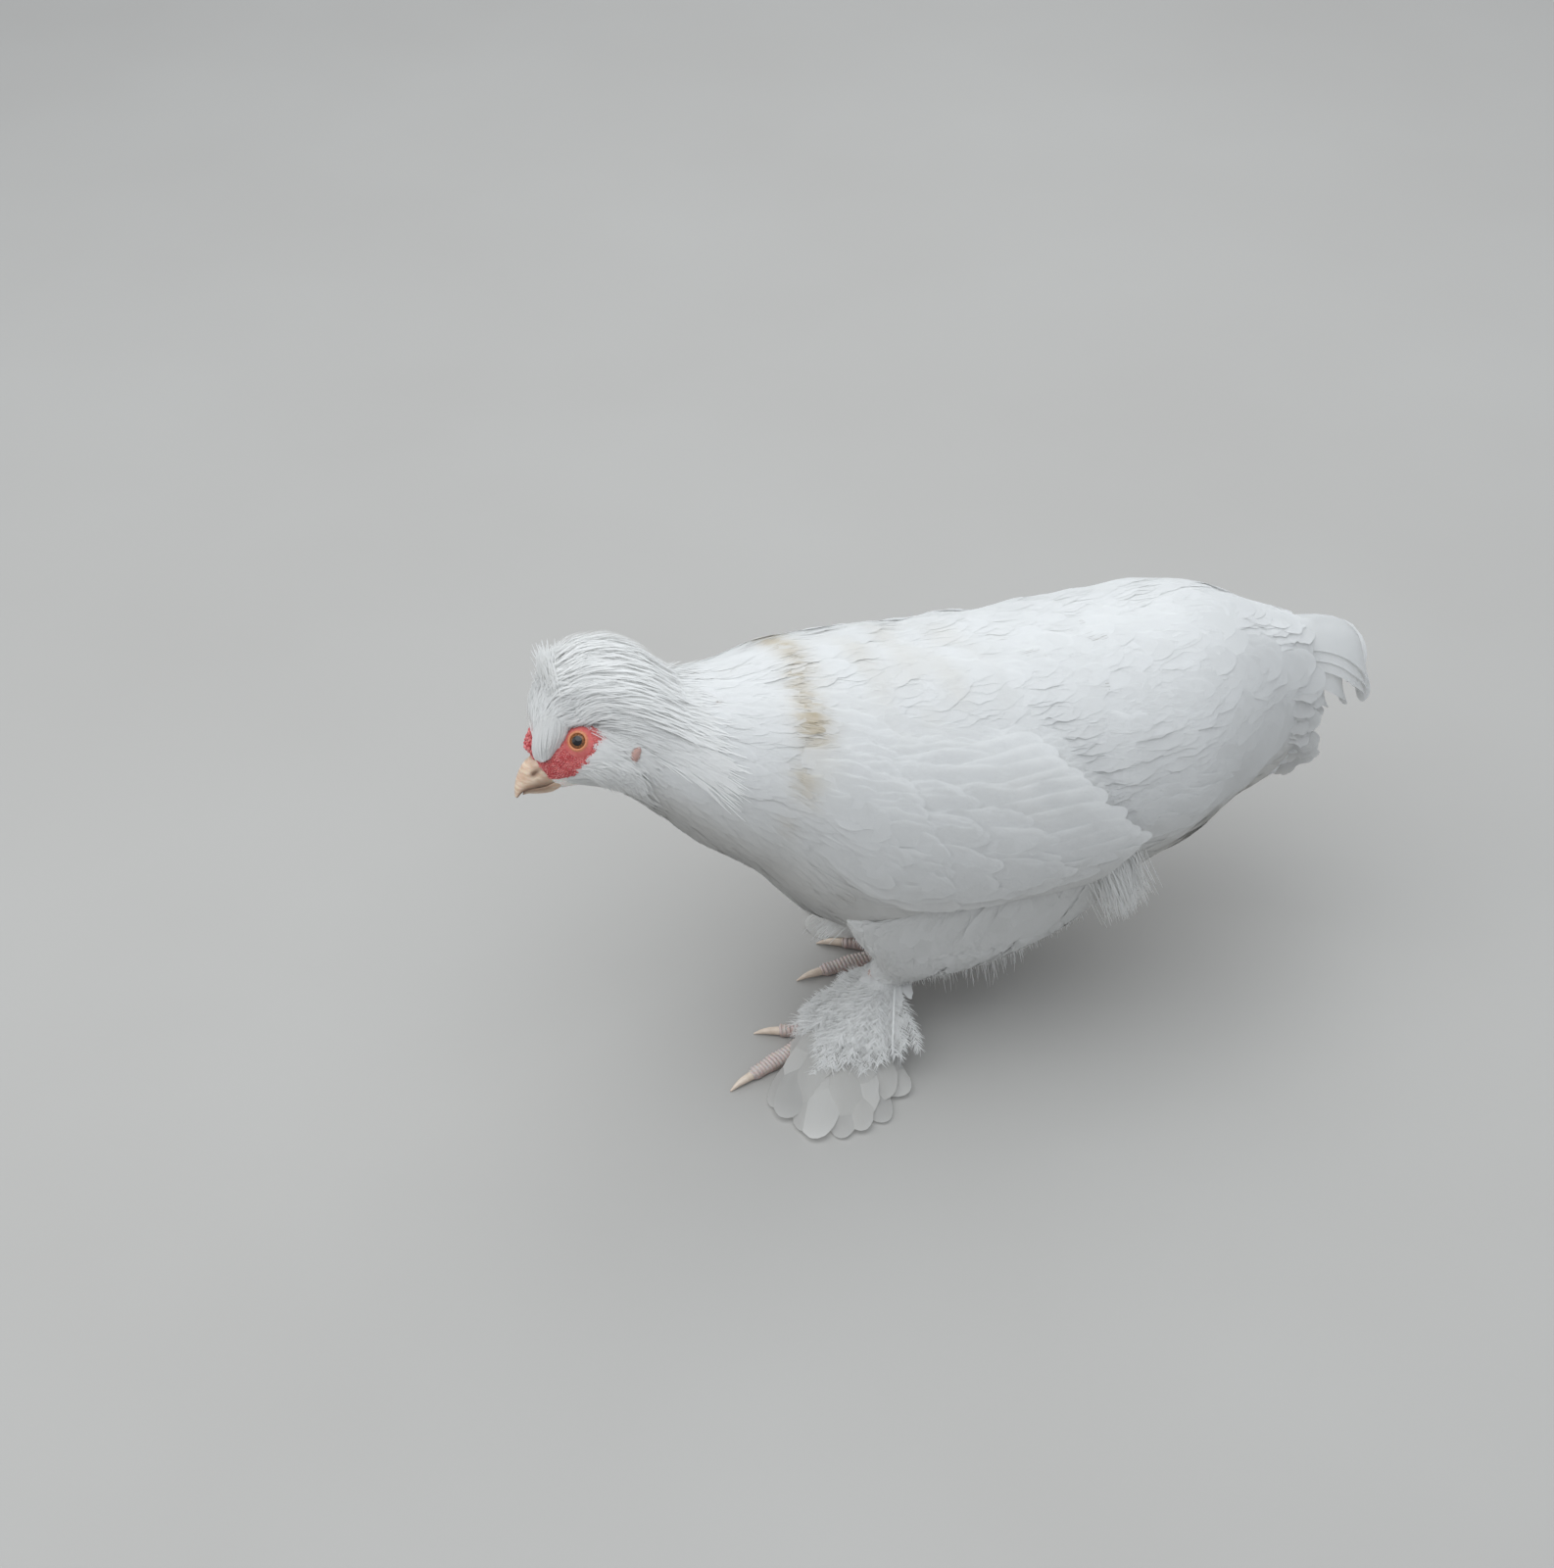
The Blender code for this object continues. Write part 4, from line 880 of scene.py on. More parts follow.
def lay(places, length, half, lifts, droop=8.0, rows=8, columns=4, bow=9.0, frayed=0.12, softness=0.85,
        splay=6.0, surface=on_coat, widest=0.6, tip=0.12, marks=plumage_marks, raised=0.0):
    """Feathers that lie over a surface from their places in it, back along its first coordinate and aside by
    the droop (degrees). lifts are the heights of their roots and tips over the surface, and splay how far
    their headings stray (degrees). raised turns their shading upwards."""
    x, angle = places.T
    count = len(x)
    here, small_x, small_angle = surface(x, angle, 0.0)[0], 0.0005, 0.5
    run_x = np.linalg.norm(surface(x + small_x, angle, 0.0)[0] - here, axis=1) / small_x
    run_angle = np.linalg.norm(surface(x, angle + small_angle, 0.0)[0] - here, axis=1) / small_angle
    length, half = (np.broadcast_to(v, (count,)) * CHANCE.uniform(0.85, 1.15, count) for v in (length, half))
    f = steps_down(rows)
    heading = np.radians(droop * np.abs(np.sin(np.radians(angle))) + CHANCE.normal(0, splay, count))
    steps = length * np.cos(heading) / run_x
    if surface is on_coat:
        steps = np.minimum(steps, np.maximum(np.interp(np.abs(angle), *np.array(RUMP).T) - x, 0.004))
    turns = np.where(angle < 0, -1, 1) * length * np.sin(heading) / run_angle
    all_x, all_angle = x[:, None] + steps[:, None] * f, angle[:, None] + turns[:, None] * f
    rise = lifts[0] + (lifts[1] - lifts[0]) * f**0.6 + CHANCE.normal(0, 0.0001, (count, 1)) * f
    centres, outs = surface(all_x, all_angle, rise)
    made = sheets(centres, outs, blade_widths(half, rows, widest=widest, tip=tip), columns, bow, 0.0, frayed,
                  softness, unit(outs + np.array((0, 0, raised))))
    if marks:
        made["marks"] = marks(all_x, all_angle, np.broadcast_to(f, all_x.shape))
    return made


def clear_of_face(places):
    """The places that aren't on the bare face."""
    return places[bareness(*places.T) < 0.25]


def clear_of_wings(places):
    """The places that the folded wings don't hide."""
    x, side = places[:, 0], np.abs(places[:, 1])
    return places[~((x > -0.010) & (x < 0.050) & (side > 52) & (side < 98))]


def loose_barbs(start, end, apart, length, angles=ALL_ROUND):
    """Fine barbs that lie over the feathers and soften their edges."""
    places = clear_of_face(sow(start, end, apart, apart, angles))
    return lay(places, length, 0.00014, (-0.0003, 0.00022), rows=5, columns=1, frayed=0.0, splay=16, bow=0)


NECK_TIERS = (
    # first and last x, metres apart along her and round her, length, half width, lifts, rows, bow
    (-0.122, -0.092, 0.0020, 0.0018, 0.0080, 0.0013, (-0.0004, 0.0003), 5, 30),
    (-0.092, -0.070, 0.0028, 0.0024, 0.014, 0.0018, (-0.0004, 0.0002), 7, 20),
    (-0.070, -0.036, 0.0034, 0.0028, 0.020, 0.0024, (-0.0006, 0.0002), 9, 14),
)
neck = []
for start, end, along, across, length, half, lifts, rows, bow in NECK_TIERS:
    places = clear_of_face(sow(start, end, along, across))
    neck.append(lay(places, length, half, lifts, rows=rows, columns=2, frayed=0.3, bow=bow))
neck.append(loose_barbs(-0.118, -0.030, 0.0030, 0.0100))
plumage_piece("neck_plumage", neck, ("neck", "head", "torso"))

broad = dict(lifts=(-0.0006, 0.0001), frayed=0.3, rows=9, bow=6)
places = clear_of_wings(sow(-0.036, 0.140, 0.0050, 0.0056, (88, 272)))
breast = [lay(places, 0.024, 0.0058, droop=4, **broad), loose_barbs(-0.036, 0.140, 0.0042, 0.0100, (96, 264))]
plumage_piece("breast_plumage", breast, ("torso",))

places = clear_of_wings(sow(-0.036, 0.128, 0.0048, 0.0054, (-92, 92)))
back = [lay(places, 0.024, 0.0056, **broad)]
loose = [loose_barbs(0.070, 0.136, 0.0026, 0.0120, angles) for angles in ((-104, -40), (40, 104))]
back += [loose_barbs(-0.036, 0.160, 0.0038, 0.0110, (-96, 96))] + loose
plumage_piece("back_plumage", back, ("torso",))


# Wings: folded flat against her sides. Long smooth flight feathers lie one over the next along the lower edge
# and end in a rounded tip, and rows of broad coverts hide their roots up to the shoulder.
WING_TIERS = (
    # how many, first and last root (x, angle), first and last tip (x, angle), lifts from the wing, half width
    (9, (0.020, 90), (0.026, 108), (0.105, 95), (0.090, 110), (-0.0016, 0.0008), 0.0052),
    (11, (0.004, 54), (0.026, 92), (0.062, 50), (0.104, 94), (-0.0004, 0.0012), 0.0070),
    (15, (-0.010, 50), (0.012, 102), (0.038, 48), (0.070, 104), (0.0000, 0.0012), 0.0072),
    (17, (-0.018, 49), (-0.002, 104), (0.018, 47), (0.044, 107), (0.0001, 0.0014), 0.0070),
    (18, (-0.026, 48), (-0.014, 104), (0.002, 47), (0.022, 107), (0.0001, 0.0015), 0.0068),
    (20, (-0.036, 50), (-0.028, 100), (-0.012, 48), (0.002, 104), (-0.0004, 0.0013), 0.0064),
)


def on_wing(x, angle, lift):
    """Points over a folded wing. Its rear and its lower edge stand off the body."""
    side = np.abs(angle)
    stand_off = (WING_SWELL * (1 + 0.5 * ramp(x, 0.01, 0.07)) * ramp(x, WING_FRONT, WING_FRONT + 0.03)
                 * ramp(side, WING_TOP - 10, WING_TOP + 34) * (1 - 0.5 * ramp(side, 96, 112))
                 * (1 - 0.3 * ramp(x, 0.08, 0.108)))
    lumps = 0.0004 * ripple(x, angle, 0.012, 12)
    return on_body(x, angle, stand_off + lumps + lift * ramp(side, 42, 62) - 0.0004 * ramp(-side, -58, -44))


def between(first, last, count):
    """So many places from the first to the last, evenly apart."""
    return np.linspace(np.array(first, float), np.array(last, float), count)


for word, side in SIDES.items():
    batches = []
    for k, (count, root0, root1, tip0, tip1, lifts, half) in enumerate(WING_TIERS):
        lowest, flight = k < 1, k < 2
        roots, tips = between(root0, root1, count), between(tip0, tip1, count)
        roots += CHANCE.normal(0, 1, roots.shape) * (0.0014, 0.9)
        tips += CHANCE.normal(0, 1, tips.shape) * ((0.0008, 0.5) if flight else (0.0024, 1.4))
        rows = 20 if flight else 13
        f = steps_down(rows)
        x = roots[:, :1] + (tips[:, :1] - roots[:, :1]) * f
        angle = (roots[:, 1:] + (tips[:, 1:] - roots[:, 1:]) * f) * side
        rise = lifts[0] + (lifts[1] - lifts[0]) * f**0.7 + CHANCE.normal(0, 0.00008, (count, 1))
        centres, outs = on_wing(x, angle, rise)
        wide = blade_widths(half * CHANCE.uniform(0.92, 1.1, count), rows, 0.6, 0.8 if flight else 0.6)
        made = sheets(centres, outs, wide, 8, bow=9.0, roll=side * (9.0 if lowest else 4.0),
                      frayed=0.05 if flight else 0.25, softness=0.45 if lowest else 0.8)
        made["marks"] = plumage_marks(x, angle, np.broadcast_to(f, x.shape))
        batches.append(made)
    plumage_piece("wing_" + word + "_feathers", batches, ("wing_" + word,))


# Tail: eleven pairs of broad quills that lean together like a roof and arch down to the tip, under tiers of
# soft rounded coverts that grow out of a full cushion. Short loose feathers spread from the vent below them.
QUILL_TIPS = (
    # x and height of the tips of every second pair, from the top
    (0.230, 0.108), (0.226, 0.111), (0.206, 0.116), (0.199, 0.109), (0.190, 0.103), (0.180, 0.097))
QUILL_HALF, QUILL_ROWS = 0.0090, 20
COVERT_TIERS = (
    # first and last x, length, half width, height of the tips over the coat
    (0.124, 0.150, 0.030, 0.0078, 0.0002), (0.150, 0.172, 0.028, 0.0080, 0.0003),
    (0.172, 0.184, 0.020, 0.0070, 0.0002))


def quill(k, side):
    """The midrib of a quill and the way it faces. k is 0 for the top pair and 5 for the lowest, and may lie
    halfway between two."""
    x, z = (np.interp(k, range(len(QUILL_TIPS)), row) for row in np.array(QUILL_TIPS).T)
    lean = math.radians(50 + 5 * k)
    out_by = 0.0008 + QUILL_HALF * math.cos(lean)
    root = np.array((0.150, side * (out_by + 0.0026 * k), 0.146 - 0.0060 * k))
    over = np.array((x + 0.005 - 0.0012 * k, side * (out_by + 0.0046 * k), 0.164 - 0.0116 * k))
    tip = np.array((x, side * (out_by * 0.7 + 0.0050 * k), z))
    t = steps_down(QUILL_ROWS)[:, None]
    ridge = np.array((0, side * math.cos(lean), -math.sin(lean)))
    ways = unit((over - root) * (1 - t) + (tip - over) * t)
    outs = unit(np.cross(ridge - ways * (ways @ ridge)[:, None], ways) * -side)
    return root * (1 - t) ** 2 + over * (2 * t * (1 - t)) + tip * t**2 + stand, outs


def hanging(roots, ways, length, droop, curl, rows):
    """Midribs that leave their roots by the given ways, bent down by the droop and any way by the curl."""
    count, f = len(roots), steps_down(rows)
    bend = unit(CHANCE.normal(0, 1, (count, 3))) * curl + np.array((0, 0, -1.0)) * np.reshape(droop, (-1, 1))
    way = unit(unit(ways)[:, None] + bend[:, None] * f[:, None])
    step = np.broadcast_to(length, (count,))[:, None] * np.diff(f)
    run = np.cumsum(way[:, :-1] * step[..., None], axis=1)
    return roots[:, None] + np.concatenate((np.zeros((count, 1, 3)), run), axis=1)


def plumes(roots, ways, length, half, droop, curl, faces_to, rows=9, columns=2, bow=14.0, frayed=0.3,
           softness=0.5, tip=0.15, widest=0.45):
    """Loose feathers with hanging midribs."""
    count, centres = len(roots), hanging(roots, ways, length, droop, curl, rows)
    half = np.broadcast_to(half, (count,)) * CHANCE.uniform(0.75, 1.2, count)
    faces_to = np.broadcast_to(faces_to, (count, 3))[:, None]
    return sheets(centres, faces_to + 0 * centres, blade_widths(half, rows, 0.6, widest, tip), columns, bow,
                  CHANCE.normal(0, 10, count), frayed, softness)


quills = [quill(k, side) for k in np.arange(0, 5.01, 0.5) for side in SIDES.values()]
centres, outs = (np.array([pair[k] for pair in quills]) for k in (0, 1))
wide = blade_widths(np.full(len(quills), QUILL_HALF), QUILL_ROWS, 0.6, 0.72)
made = sheets(centres, outs, wide, 8, bow=9.0, roll=0.0, frayed=0.05, softness=0.35)
made["marks"] = plain_marks(len(quills), QUILL_ROWS, buff=0.0, grey=0.0)
batches = [made]
for start, end, length, half, lift in COVERT_TIERS:
    places = sow(start, end, 0.0046, 0.0056)
    batches.append(lay(places, length, half, (-0.0010, lift), droop=2, rows=10, columns=6, bow=10,
                       frayed=0.16))
count = 420
around = CHANCE.uniform(62, 298, count)
roots, outs = on_coat(CHANCE.uniform(0.181, 0.189, count), (around + 180) % 360 - 180, -0.0012)
ways = np.array((1.0, 0, -0.25)) - outs * CHANCE.uniform(0.1, 1.4, (count, 1))
batches.append(plumes(roots, ways, CHANCE.uniform(0.010, 0.018, count), 0.0046, 0.2, 0.15,
                      faces_to=outs + (0.8, 0, 0.2), columns=4, softness=0.6, widest=0.6))
plumage_piece("tail_feathers", batches, ("tail",))


# Crest: a full round cap of fine, hair-like feathers that sweep up from the forehead and back over the nape,
# with loose hairs along its top, a tuft and short hairs that stand up at its front, and long tips behind.
CREST = (
    # x, and how high the crest's middle stands over the skin there
    (-0.1290, 0.0030), (-0.1257, 0.0085), (-0.1230, 0.0110), (-0.1154, 0.0165), (-0.1092, 0.0215),
    (-0.1008, 0.0228), (-0.0926, 0.0196), (-0.0853, 0.0125), (-0.0807, 0.0060), (-0.0750, 0.0))
CREST_EDGE = (
    # x, and the degrees from the top to the crest's edge there
    (-0.1290, 22), (-0.1240, 34), (-0.1180, 44), (-0.1125, 48), (-0.1065, 54), (-0.1000, 70), (-0.0900, 82))
KNOB_ENDS, KNOB_INSET = (-0.1262, -0.0760), 0.0036


def crest_edge(x):
    """The degrees from the top to the crest's edge."""
    return np.interp(x, *np.array(CREST_EDGE).T)


def crest_height(x, angle):
    """How high (metres) the crest stands over the skin. It is low at the comb, and dips behind the brow."""
    share = np.clip(1 - (angle / crest_edge(x)) ** 2, 0, 1)
    fall = 0.7 + 0.8 * ramp(x, -0.112, -0.096)
    dip = 0.0034 * hump(x, -0.1092, 0.0030) * hump(np.abs(angle), 42, 8)
    comb_free = 1 - 0.7 * hump(x, -0.1300, 0.0060) * hump(angle, -8, 18)
    return np.maximum(np.interp(x, *np.array(CREST).T) * share**fall * comb_free - dip, 0)


def on_crest(x, angle, lift):
    """Points over the crest's own rounded mass, and the way out of it there."""
    x, angle, lift = np.broadcast_arrays(np.asarray(x, float), np.asarray(angle, float), lift)

    def point(x, angle):
        centre, up, right = body_axes(x)
        rise, half = np.interp(x, PLACES, SECTIONS[3]), np.interp(x, PLACES, SECTIONS[5])
        turn = np.radians(angle)
        high = crest_height(x, angle)
        over, aside = np.cos(turn) * (rise + high), np.sin(turn) * (half + high)
        return centre + up * over[..., None] + right * aside[..., None]

    here = point(x, angle)
    out = unit(np.cross(point(x + 0.001, angle) - point(x - 0.001, angle),
                        point(x, angle + 2) - point(x, angle - 2)))
    out *= np.where((out * (here - body_axes(x)[0])).sum(-1, keepdims=True) < 0, -1, 1)
    return here + out * lift[..., None], out


def crest_places(start, end, count, spread=1.0):
    """Places strewn over the crest, but not over the comb nor to its right, where short hairs stand."""
    x = CHANCE.uniform(start, end, count)
    angle = crest_edge(x) * spread * CHANCE.uniform(-1, 1, count)
    off_comb = (x > -0.1232) | (np.abs(angle + 8) > 13)
    off_front = (x > -0.1196) | (np.abs(angle - 22) > 16)
    return np.stack((x, angle), -1)[off_comb & off_front]


x, angle = np.meshgrid(np.linspace(*KNOB_ENDS, 60), np.linspace(-1, 1, 41), indexing="ij")
angle = angle * crest_edge(x)
over, under = on_crest(x, angle, -KNOB_INSET)[0], on_body(x, angle, -0.003)[0][:, ::-1]
knob = closed_tube("crest_knob", np.concatenate((over, under), axis=1), skin_look)
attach(knob, "root")
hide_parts("crest")

combed = dict(surface=on_crest, marks=None, droop=9, splay=6, columns=2, frayed=0.3, widest=0.4, tip=0.2,
              softness=0.7, raised=0.8)
hairs = dict(combed, columns=1, frayed=0.0, bow=0)
batches = [
    lay(crest_places(-0.1268, -0.088, 1500), 0.019, 0.0016, (-0.0030, -0.0010), rows=8, bow=26, **combed),
    lay(crest_places(-0.1268, -0.088, 2000), 0.017, 0.0010, (-0.0018, 0.0000), rows=8, bow=30, **combed),
    lay(crest_places(-0.1268, -0.086, 3000), 0.015, 0.00026, (-0.0008, 0.0007), rows=8, **hairs),
    lay(crest_places(-0.1272, -0.114, 1500), 0.010, 0.00028, (-0.0008, 0.0009), rows=8, **hairs),
    lay(crest_places(-0.1160, -0.090, 420, 0.7), 0.016, 0.00022, (-0.0010, 0.0030), rows=9, **hairs),
    lay(crest_places(-0.1000, -0.086, 160, 0.7), 0.026, 0.00030, (-0.0010, 0.0026), rows=10, **hairs),
    lay(crest_places(-0.1040, -0.080, 1500), 0.028, 0.00034, (-0.0008, 0.0006), rows=10, **hairs),
]
# The tuft that stands up at its front
count = 240
roots = on_crest(CHANCE.normal(-0.1116, 0.0013, count), CHANCE.normal(-12, 8, count), -0.0010)[0]
ways = np.array((-0.16, -0.06, 1.0)) + CHANCE.normal(0, 0.10, (count, 3))
batches.append(plumes(roots, ways, CHANCE.uniform(0.006, 0.0125, count), 0.00026, -0.1, 0.10,
                      faces_to=(-0.5, -0.6, 0.5), columns=1, frayed=0.0, tip=0.1))
# The short hairs on the forehead to the right of the comb
count = 420
roots = on_body(CHANCE.uniform(-0.1262, -0.1180, count), CHANCE.uniform(2, 36, count), 0.0020)[0]
ways = np.array((0.10, -0.20, 1.0)) + CHANCE.normal(0, 0.08, (count, 3))
batches.append(plumes(roots, ways, CHANCE.uniform(0.007, 0.0125, count), 0.00028, -0.3, 0.10,
                      faces_to=(-0.5, -0.5, 0.7), rows=5, columns=1, frayed=0.0, softness=0.8))
plumage_piece("crest_feathers", batches, ("crest",))


# Face feathers: a smooth white lobe over each brow, short hairs round the ear, and soft muffs that sweep back
# from under the eye over the cheek and the throat.
BROW_LINES = (
    # x and angle at the lobe's edge by the comb and at its edge by the eye, for its roots, middles and tips
    ((-0.1214, 25), (-0.1128, 40)), ((-0.1264, 37), (-0.1152, 48)), ((-0.1264, 58), (-0.1240, 62)))
BROW_TIERS = (
    # how many, how far under the lobe's face, half width, columns
    (260, 0.0030, 0.0011, 2), (320, 0.0014, 0.0010, 2), (700, 0.0002, 0.00042, 1))
CHEEK_TIERS = (
    # first and last root (x, angle), length in x, drop (degrees), heights of the middles and of the tips,
    # half width, columns, softness, how many
    ((-0.1190, 110), (-0.1070, 72), 0.0095, 14, 0.0008, 0.0006, 0.0009, 2, 0.7, 290),
    ((-0.1150, 112), (-0.1040, 84), 0.0110, 18, 0.0014, 0.0008, 0.0009, 2, 0.7, 290),
    ((-0.1175, 108), (-0.1030, 92), 0.0085, 16, 0.0018, 0.0030, 0.00030, 1, 0.25, 800),
    ((-0.1230, 118), (-0.1180, 172), 0.0120, 6, 0.0006, 0.0006, 0.0010, 2, 0.7, 290),
    ((-0.1130, 124), (-0.1060, 172), 0.0150, 4, 0.0010, 0.0006, 0.0011, 2, 0.7, 290),
    ((-0.1060, 50), (-0.0985, 80), 0.0090, 10, 0.0010, 0.0014, 0.00022, 1, 0.6, 600),
    ((-0.1030, 66), (-0.1010, 96), 0.0070, 2, 0.0016, 0.0022, 0.00020, 1, 0.5, 90),
)


def curved(first, over, last, f):
    """The curve that leaves the first of three things towards the second and ends at the third."""
    return first[:, None] * (1 - f) ** 2 + over[:, None] * (2 * f * (1 - f)) + last[:, None] * f**2


def arched(first, middle, last, outs, half, rows=8, columns=2, frayed=0.3, softness=0.7):
    """Small feathers on arcs that run through three places in space each, and face outs at those."""
    f = steps_down(rows)[:, None]
    centres = curved(first, 2 * middle - (first + last) / 2, last, f)
    count = len(first)
    half = half * CHANCE.uniform(0.7, 1.25, count)
    return sheets(centres, unit(curved(*outs, f)), blade_widths(half, rows, 0.7, 0.5, 0.2), columns, bow=16.0,
                  roll=CHANCE.normal(0, 8, count), frayed=frayed, softness=softness)


def swept(starts, ends, swell, half, lifts, **looks):
    """Small feathers over the head from (x, angle) starts to ends, that swell away from it between them."""
    stops = ((starts, lifts[0]), ((starts + ends) / 2, swell), (ends, lifts[1]))
    spots = [on_body(*at.T, lift) for at, lift in stops]
    return arched(*(here for here, _ in spots), [out for _, out in spots], half, **looks)


batches = []
for side in SIDES.values():
    for count, under, half, columns in BROW_TIERS:
        across = CHANCE.random((count, 1))
        lines = []
        for first, last in BROW_LINES:
            line = np.array(first) + across * (np.array(last) - first)
            lines.append(((line + CHANCE.normal(0, 1, (count, 2)) * (0.0003, 1.2)) * (1, side)).T)
        full = 1 - (2 * across[:, 0] - 1) ** 2
        root, root_out = on_crest(*lines[0], 0.0002 - under * 0.5)
        middle, middle_out = on_body(*lines[1], 0.0052 * full**0.6 + 0.0012 - under)
        tip, tip_out = on_body(*lines[2], 0.0024 * full - under * 0.5)
        batches.append(arched(root, middle, tip, [root_out, middle_out, tip_out], half, 12, columns,
                              softness=0.8 if columns > 1 else 0.45))
    for first, last, reach, drop, swell, tip_lift, half, columns, softness, count in CHEEK_TIERS:
        starts = np.array(first) + CHANCE.random((count, 1)) * (np.array(last) - first)
        starts += CHANCE.normal(0, 1, (count, 2)) * (0.0012, 3)
        ends = starts + np.stack((reach * CHANCE.uniform(0.6, 1.2, count), CHANCE.normal(drop, 8, count)), -1)
        swells = CHANCE.uniform(0.4, 1, count) * swell
        batches.append(swept(starts * (1, side), ends * (1, side), swells, half, (-0.0004, tip_lift),
                             columns=columns, softness=softness, frayed=0.3 * (columns > 1)))
plumage_piece("face_feathers", batches, ("head",))


# Ear lobes: a small soft lobe of bare brownish-pink skin that grows out of the head behind each cheek. The
# short hairs round the ear lie over it.
lobe_look, wire, shader = finish("ear_skin", Subsurface_Weight=0.2, Subsurface_Scale=0.001)
dress(wire, shader, colour=grain(wire, 600.0).tint((0.30, 0.16, 0.13, 1), (0.52, 0.35, 0.31, 1)),
      roughness=0.5 + grain(wire, 2000.0) * 0.2, relief=grain(wire, 1600.0), height=0.00015)
LOBE_AT, LOBE_SIZE = (-0.0958, 82.0), (0.0019, 0.0033, 0.0013)
for word, side in SIDES.items():
    middle, out = on_body(LOBE_AT[0], side * LOBE_AT[1], 0.0011)
    along = unit(np.cross(out, (0.35, 0, 1.0)))
    upward = np.cross(out, along)
    around, over = np.meshgrid(np.arange(28) * 2 * math.pi / 28, np.linspace(-1.5, 1.5, 16), indexing="xy")
    ring = (np.cos(around)[..., None] * along * LOBE_SIZE[0]
            + np.sin(around)[..., None] * upward * LOBE_SIZE[1])
    ring *= (1 + 0.10 * np.sin(around * 3 + 1) + 0.05 * np.sin(around * 7))[..., None]
    rings = middle + ring * np.cos(over)[..., None] + out * LOBE_SIZE[2] * np.sin(over)[..., None]
    lobe = closed_tube("ear_lobe_" + word, rings, lobe_look)
    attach(lobe, "root")
    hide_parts("head")


# Thighs: deep soft fluff that hangs over each thigh to the hock, under longer feathers that drape from the
# flank over its upper half. Wisps hang at its lower edge, a loose tuft of down behind it and a few strands
# in front of it, where the belly shows.
FLUFF_END, FLUFF_STEP, FLUFF_IN_RING, DRAPED = 0.78, 0.05, 64, 540
STRAND_ROOTS = ((-0.012, 0.002), (0.006, 0.020), (0.056, 0.066))  # x, distance from her middle, and height
for word, side in SIDES.items():
    down = np.repeat(np.arange(0.0, FLUFF_END, FLUFF_STEP), FLUFF_IN_RING)
    down = np.clip(down + CHANCE.normal(0, 0.02, len(down)), 0.002, 1)
    places = np.stack((down, CHANCE.uniform(*ALL_ROUND, len(down))), -1)
    fluff = lay(places, 0.018, 0.0046, (-0.0024, 0.0007), droop=0, rows=9, columns=4, bow=10, frayed=0.35,
                marks=None, softness=0.7, surface=partial(on_thigh, side))

    count, rows = DRAPED, 12
    turn = CHANCE.uniform(10, 186, count)
    down = CHANCE.uniform(0.30, 0.60, count)
    end, end_out = on_thigh(side, down, turn + CHANCE.normal(0, 5, count), 0.0003)
    x, y, z = (on_thigh(side, CHANCE.uniform(0.0, 0.14, count), turn)[0] - stand).T
    height, drop, half = (np.interp(x, PLACES, SECTIONS[k]) for k in (0, 4, 5))
    start, start_out = on_coat(x, np.degrees(np.arctan2(y / half, (z - height) / drop)), -0.0004)
    f = steps_down(rows)[:, None]
    over = (start + end) / 2 + (start_out + end_out) * 0.0018
    outs = unit(start_out[:, None] * (1 - f) + end_out[:, None] * f)
    wide = blade_widths(CHANCE.uniform(0.0038, 0.0056, count), rows)
    drape = sheets(curved(start, over, end, f), outs, wide, 4, bow=10.0, roll=0.0, frayed=0.3, softness=0.85)

    fine = dict(columns=1, frayed=0.0, rows=7)
    count = 1500
    roots, outs = on_thigh(side, CHANCE.uniform(0.2, 1.0, count), CHANCE.uniform(*ALL_ROUND, count), -0.0010)
    length = CHANCE.uniform(0.003, 0.006, count)
    fuzz = plumes(roots, outs * 0.5 + (0.2, 0, -1.0), length, 0.00012, 0.3, 0.4, faces_to=outs, softness=0.9,
                  **fine)
    count = 170
    roots, outs = on_thigh(side, CHANCE.uniform(0.80, 1.0, count), CHANCE.uniform(-70, 60, count), -0.0010)
    length = CHANCE.uniform(0.007, 0.017, count)
    wisps = plumes(roots, outs * 0.5 + (0.1, 0, -1.0), length, 0.00018, 0.5, 0.35, faces_to=outs, **fine)
    count = 900
    roots, outs = on_coat(CHANCE.normal(0.0945, 0.0045, count), side * CHANCE.normal(114, 4, count), -0.001)
    length = 0.007 + 0.018 * CHANCE.random(count)
    tuft = plumes(roots, outs * 0.4 + (0.35, 0, -1.0), length, 0.00016, 0.4, 0.4, faces_to=outs, **fine)
    count = 130
    roots = np.stack([CHANCE.uniform(*reach, count) for reach in STRAND_ROOTS], -1) * (1, side, 1) + stand
    length = CHANCE.uniform(0.010, 0.019, count)
    strands = plumes(roots, 0 * roots + (-0.75, 0, -0.45), length, 0.00018, 0.4, 0.3,
                     faces_to=(-0.3, side, 0.5), **fine)
    plumage_piece("thigh_" + word + "_fluff", [fluff, drape, fuzz, wisps, tuft, strands], ("thigh_" + word,))


# Feet: bare pink toes, three in front and one behind, ringed with small overlapping scutes, on a soft pad
# under a round shank. Each toe ends in a pale horn claw.
TURNED_OUT = {-1: 22, 1: -3}
TOES = (
    # number, degrees inwards from straight ahead, length, radius, swellings along it
    (2, 42, 0.021, 0.0031, 2), (3, 0, 0.043, 0.0034, 3), (4, -29, 0.031, 0.0030, 3),
    (1, 172, 0.014, 0.0027, 1))
TOE_ROOT_HEIGHT, TOE_HEIGHT = 0.0080, 0.0030  # of a toe's axis
TOE_SWELL = 1.12  # how much thicker than listed a toe is made
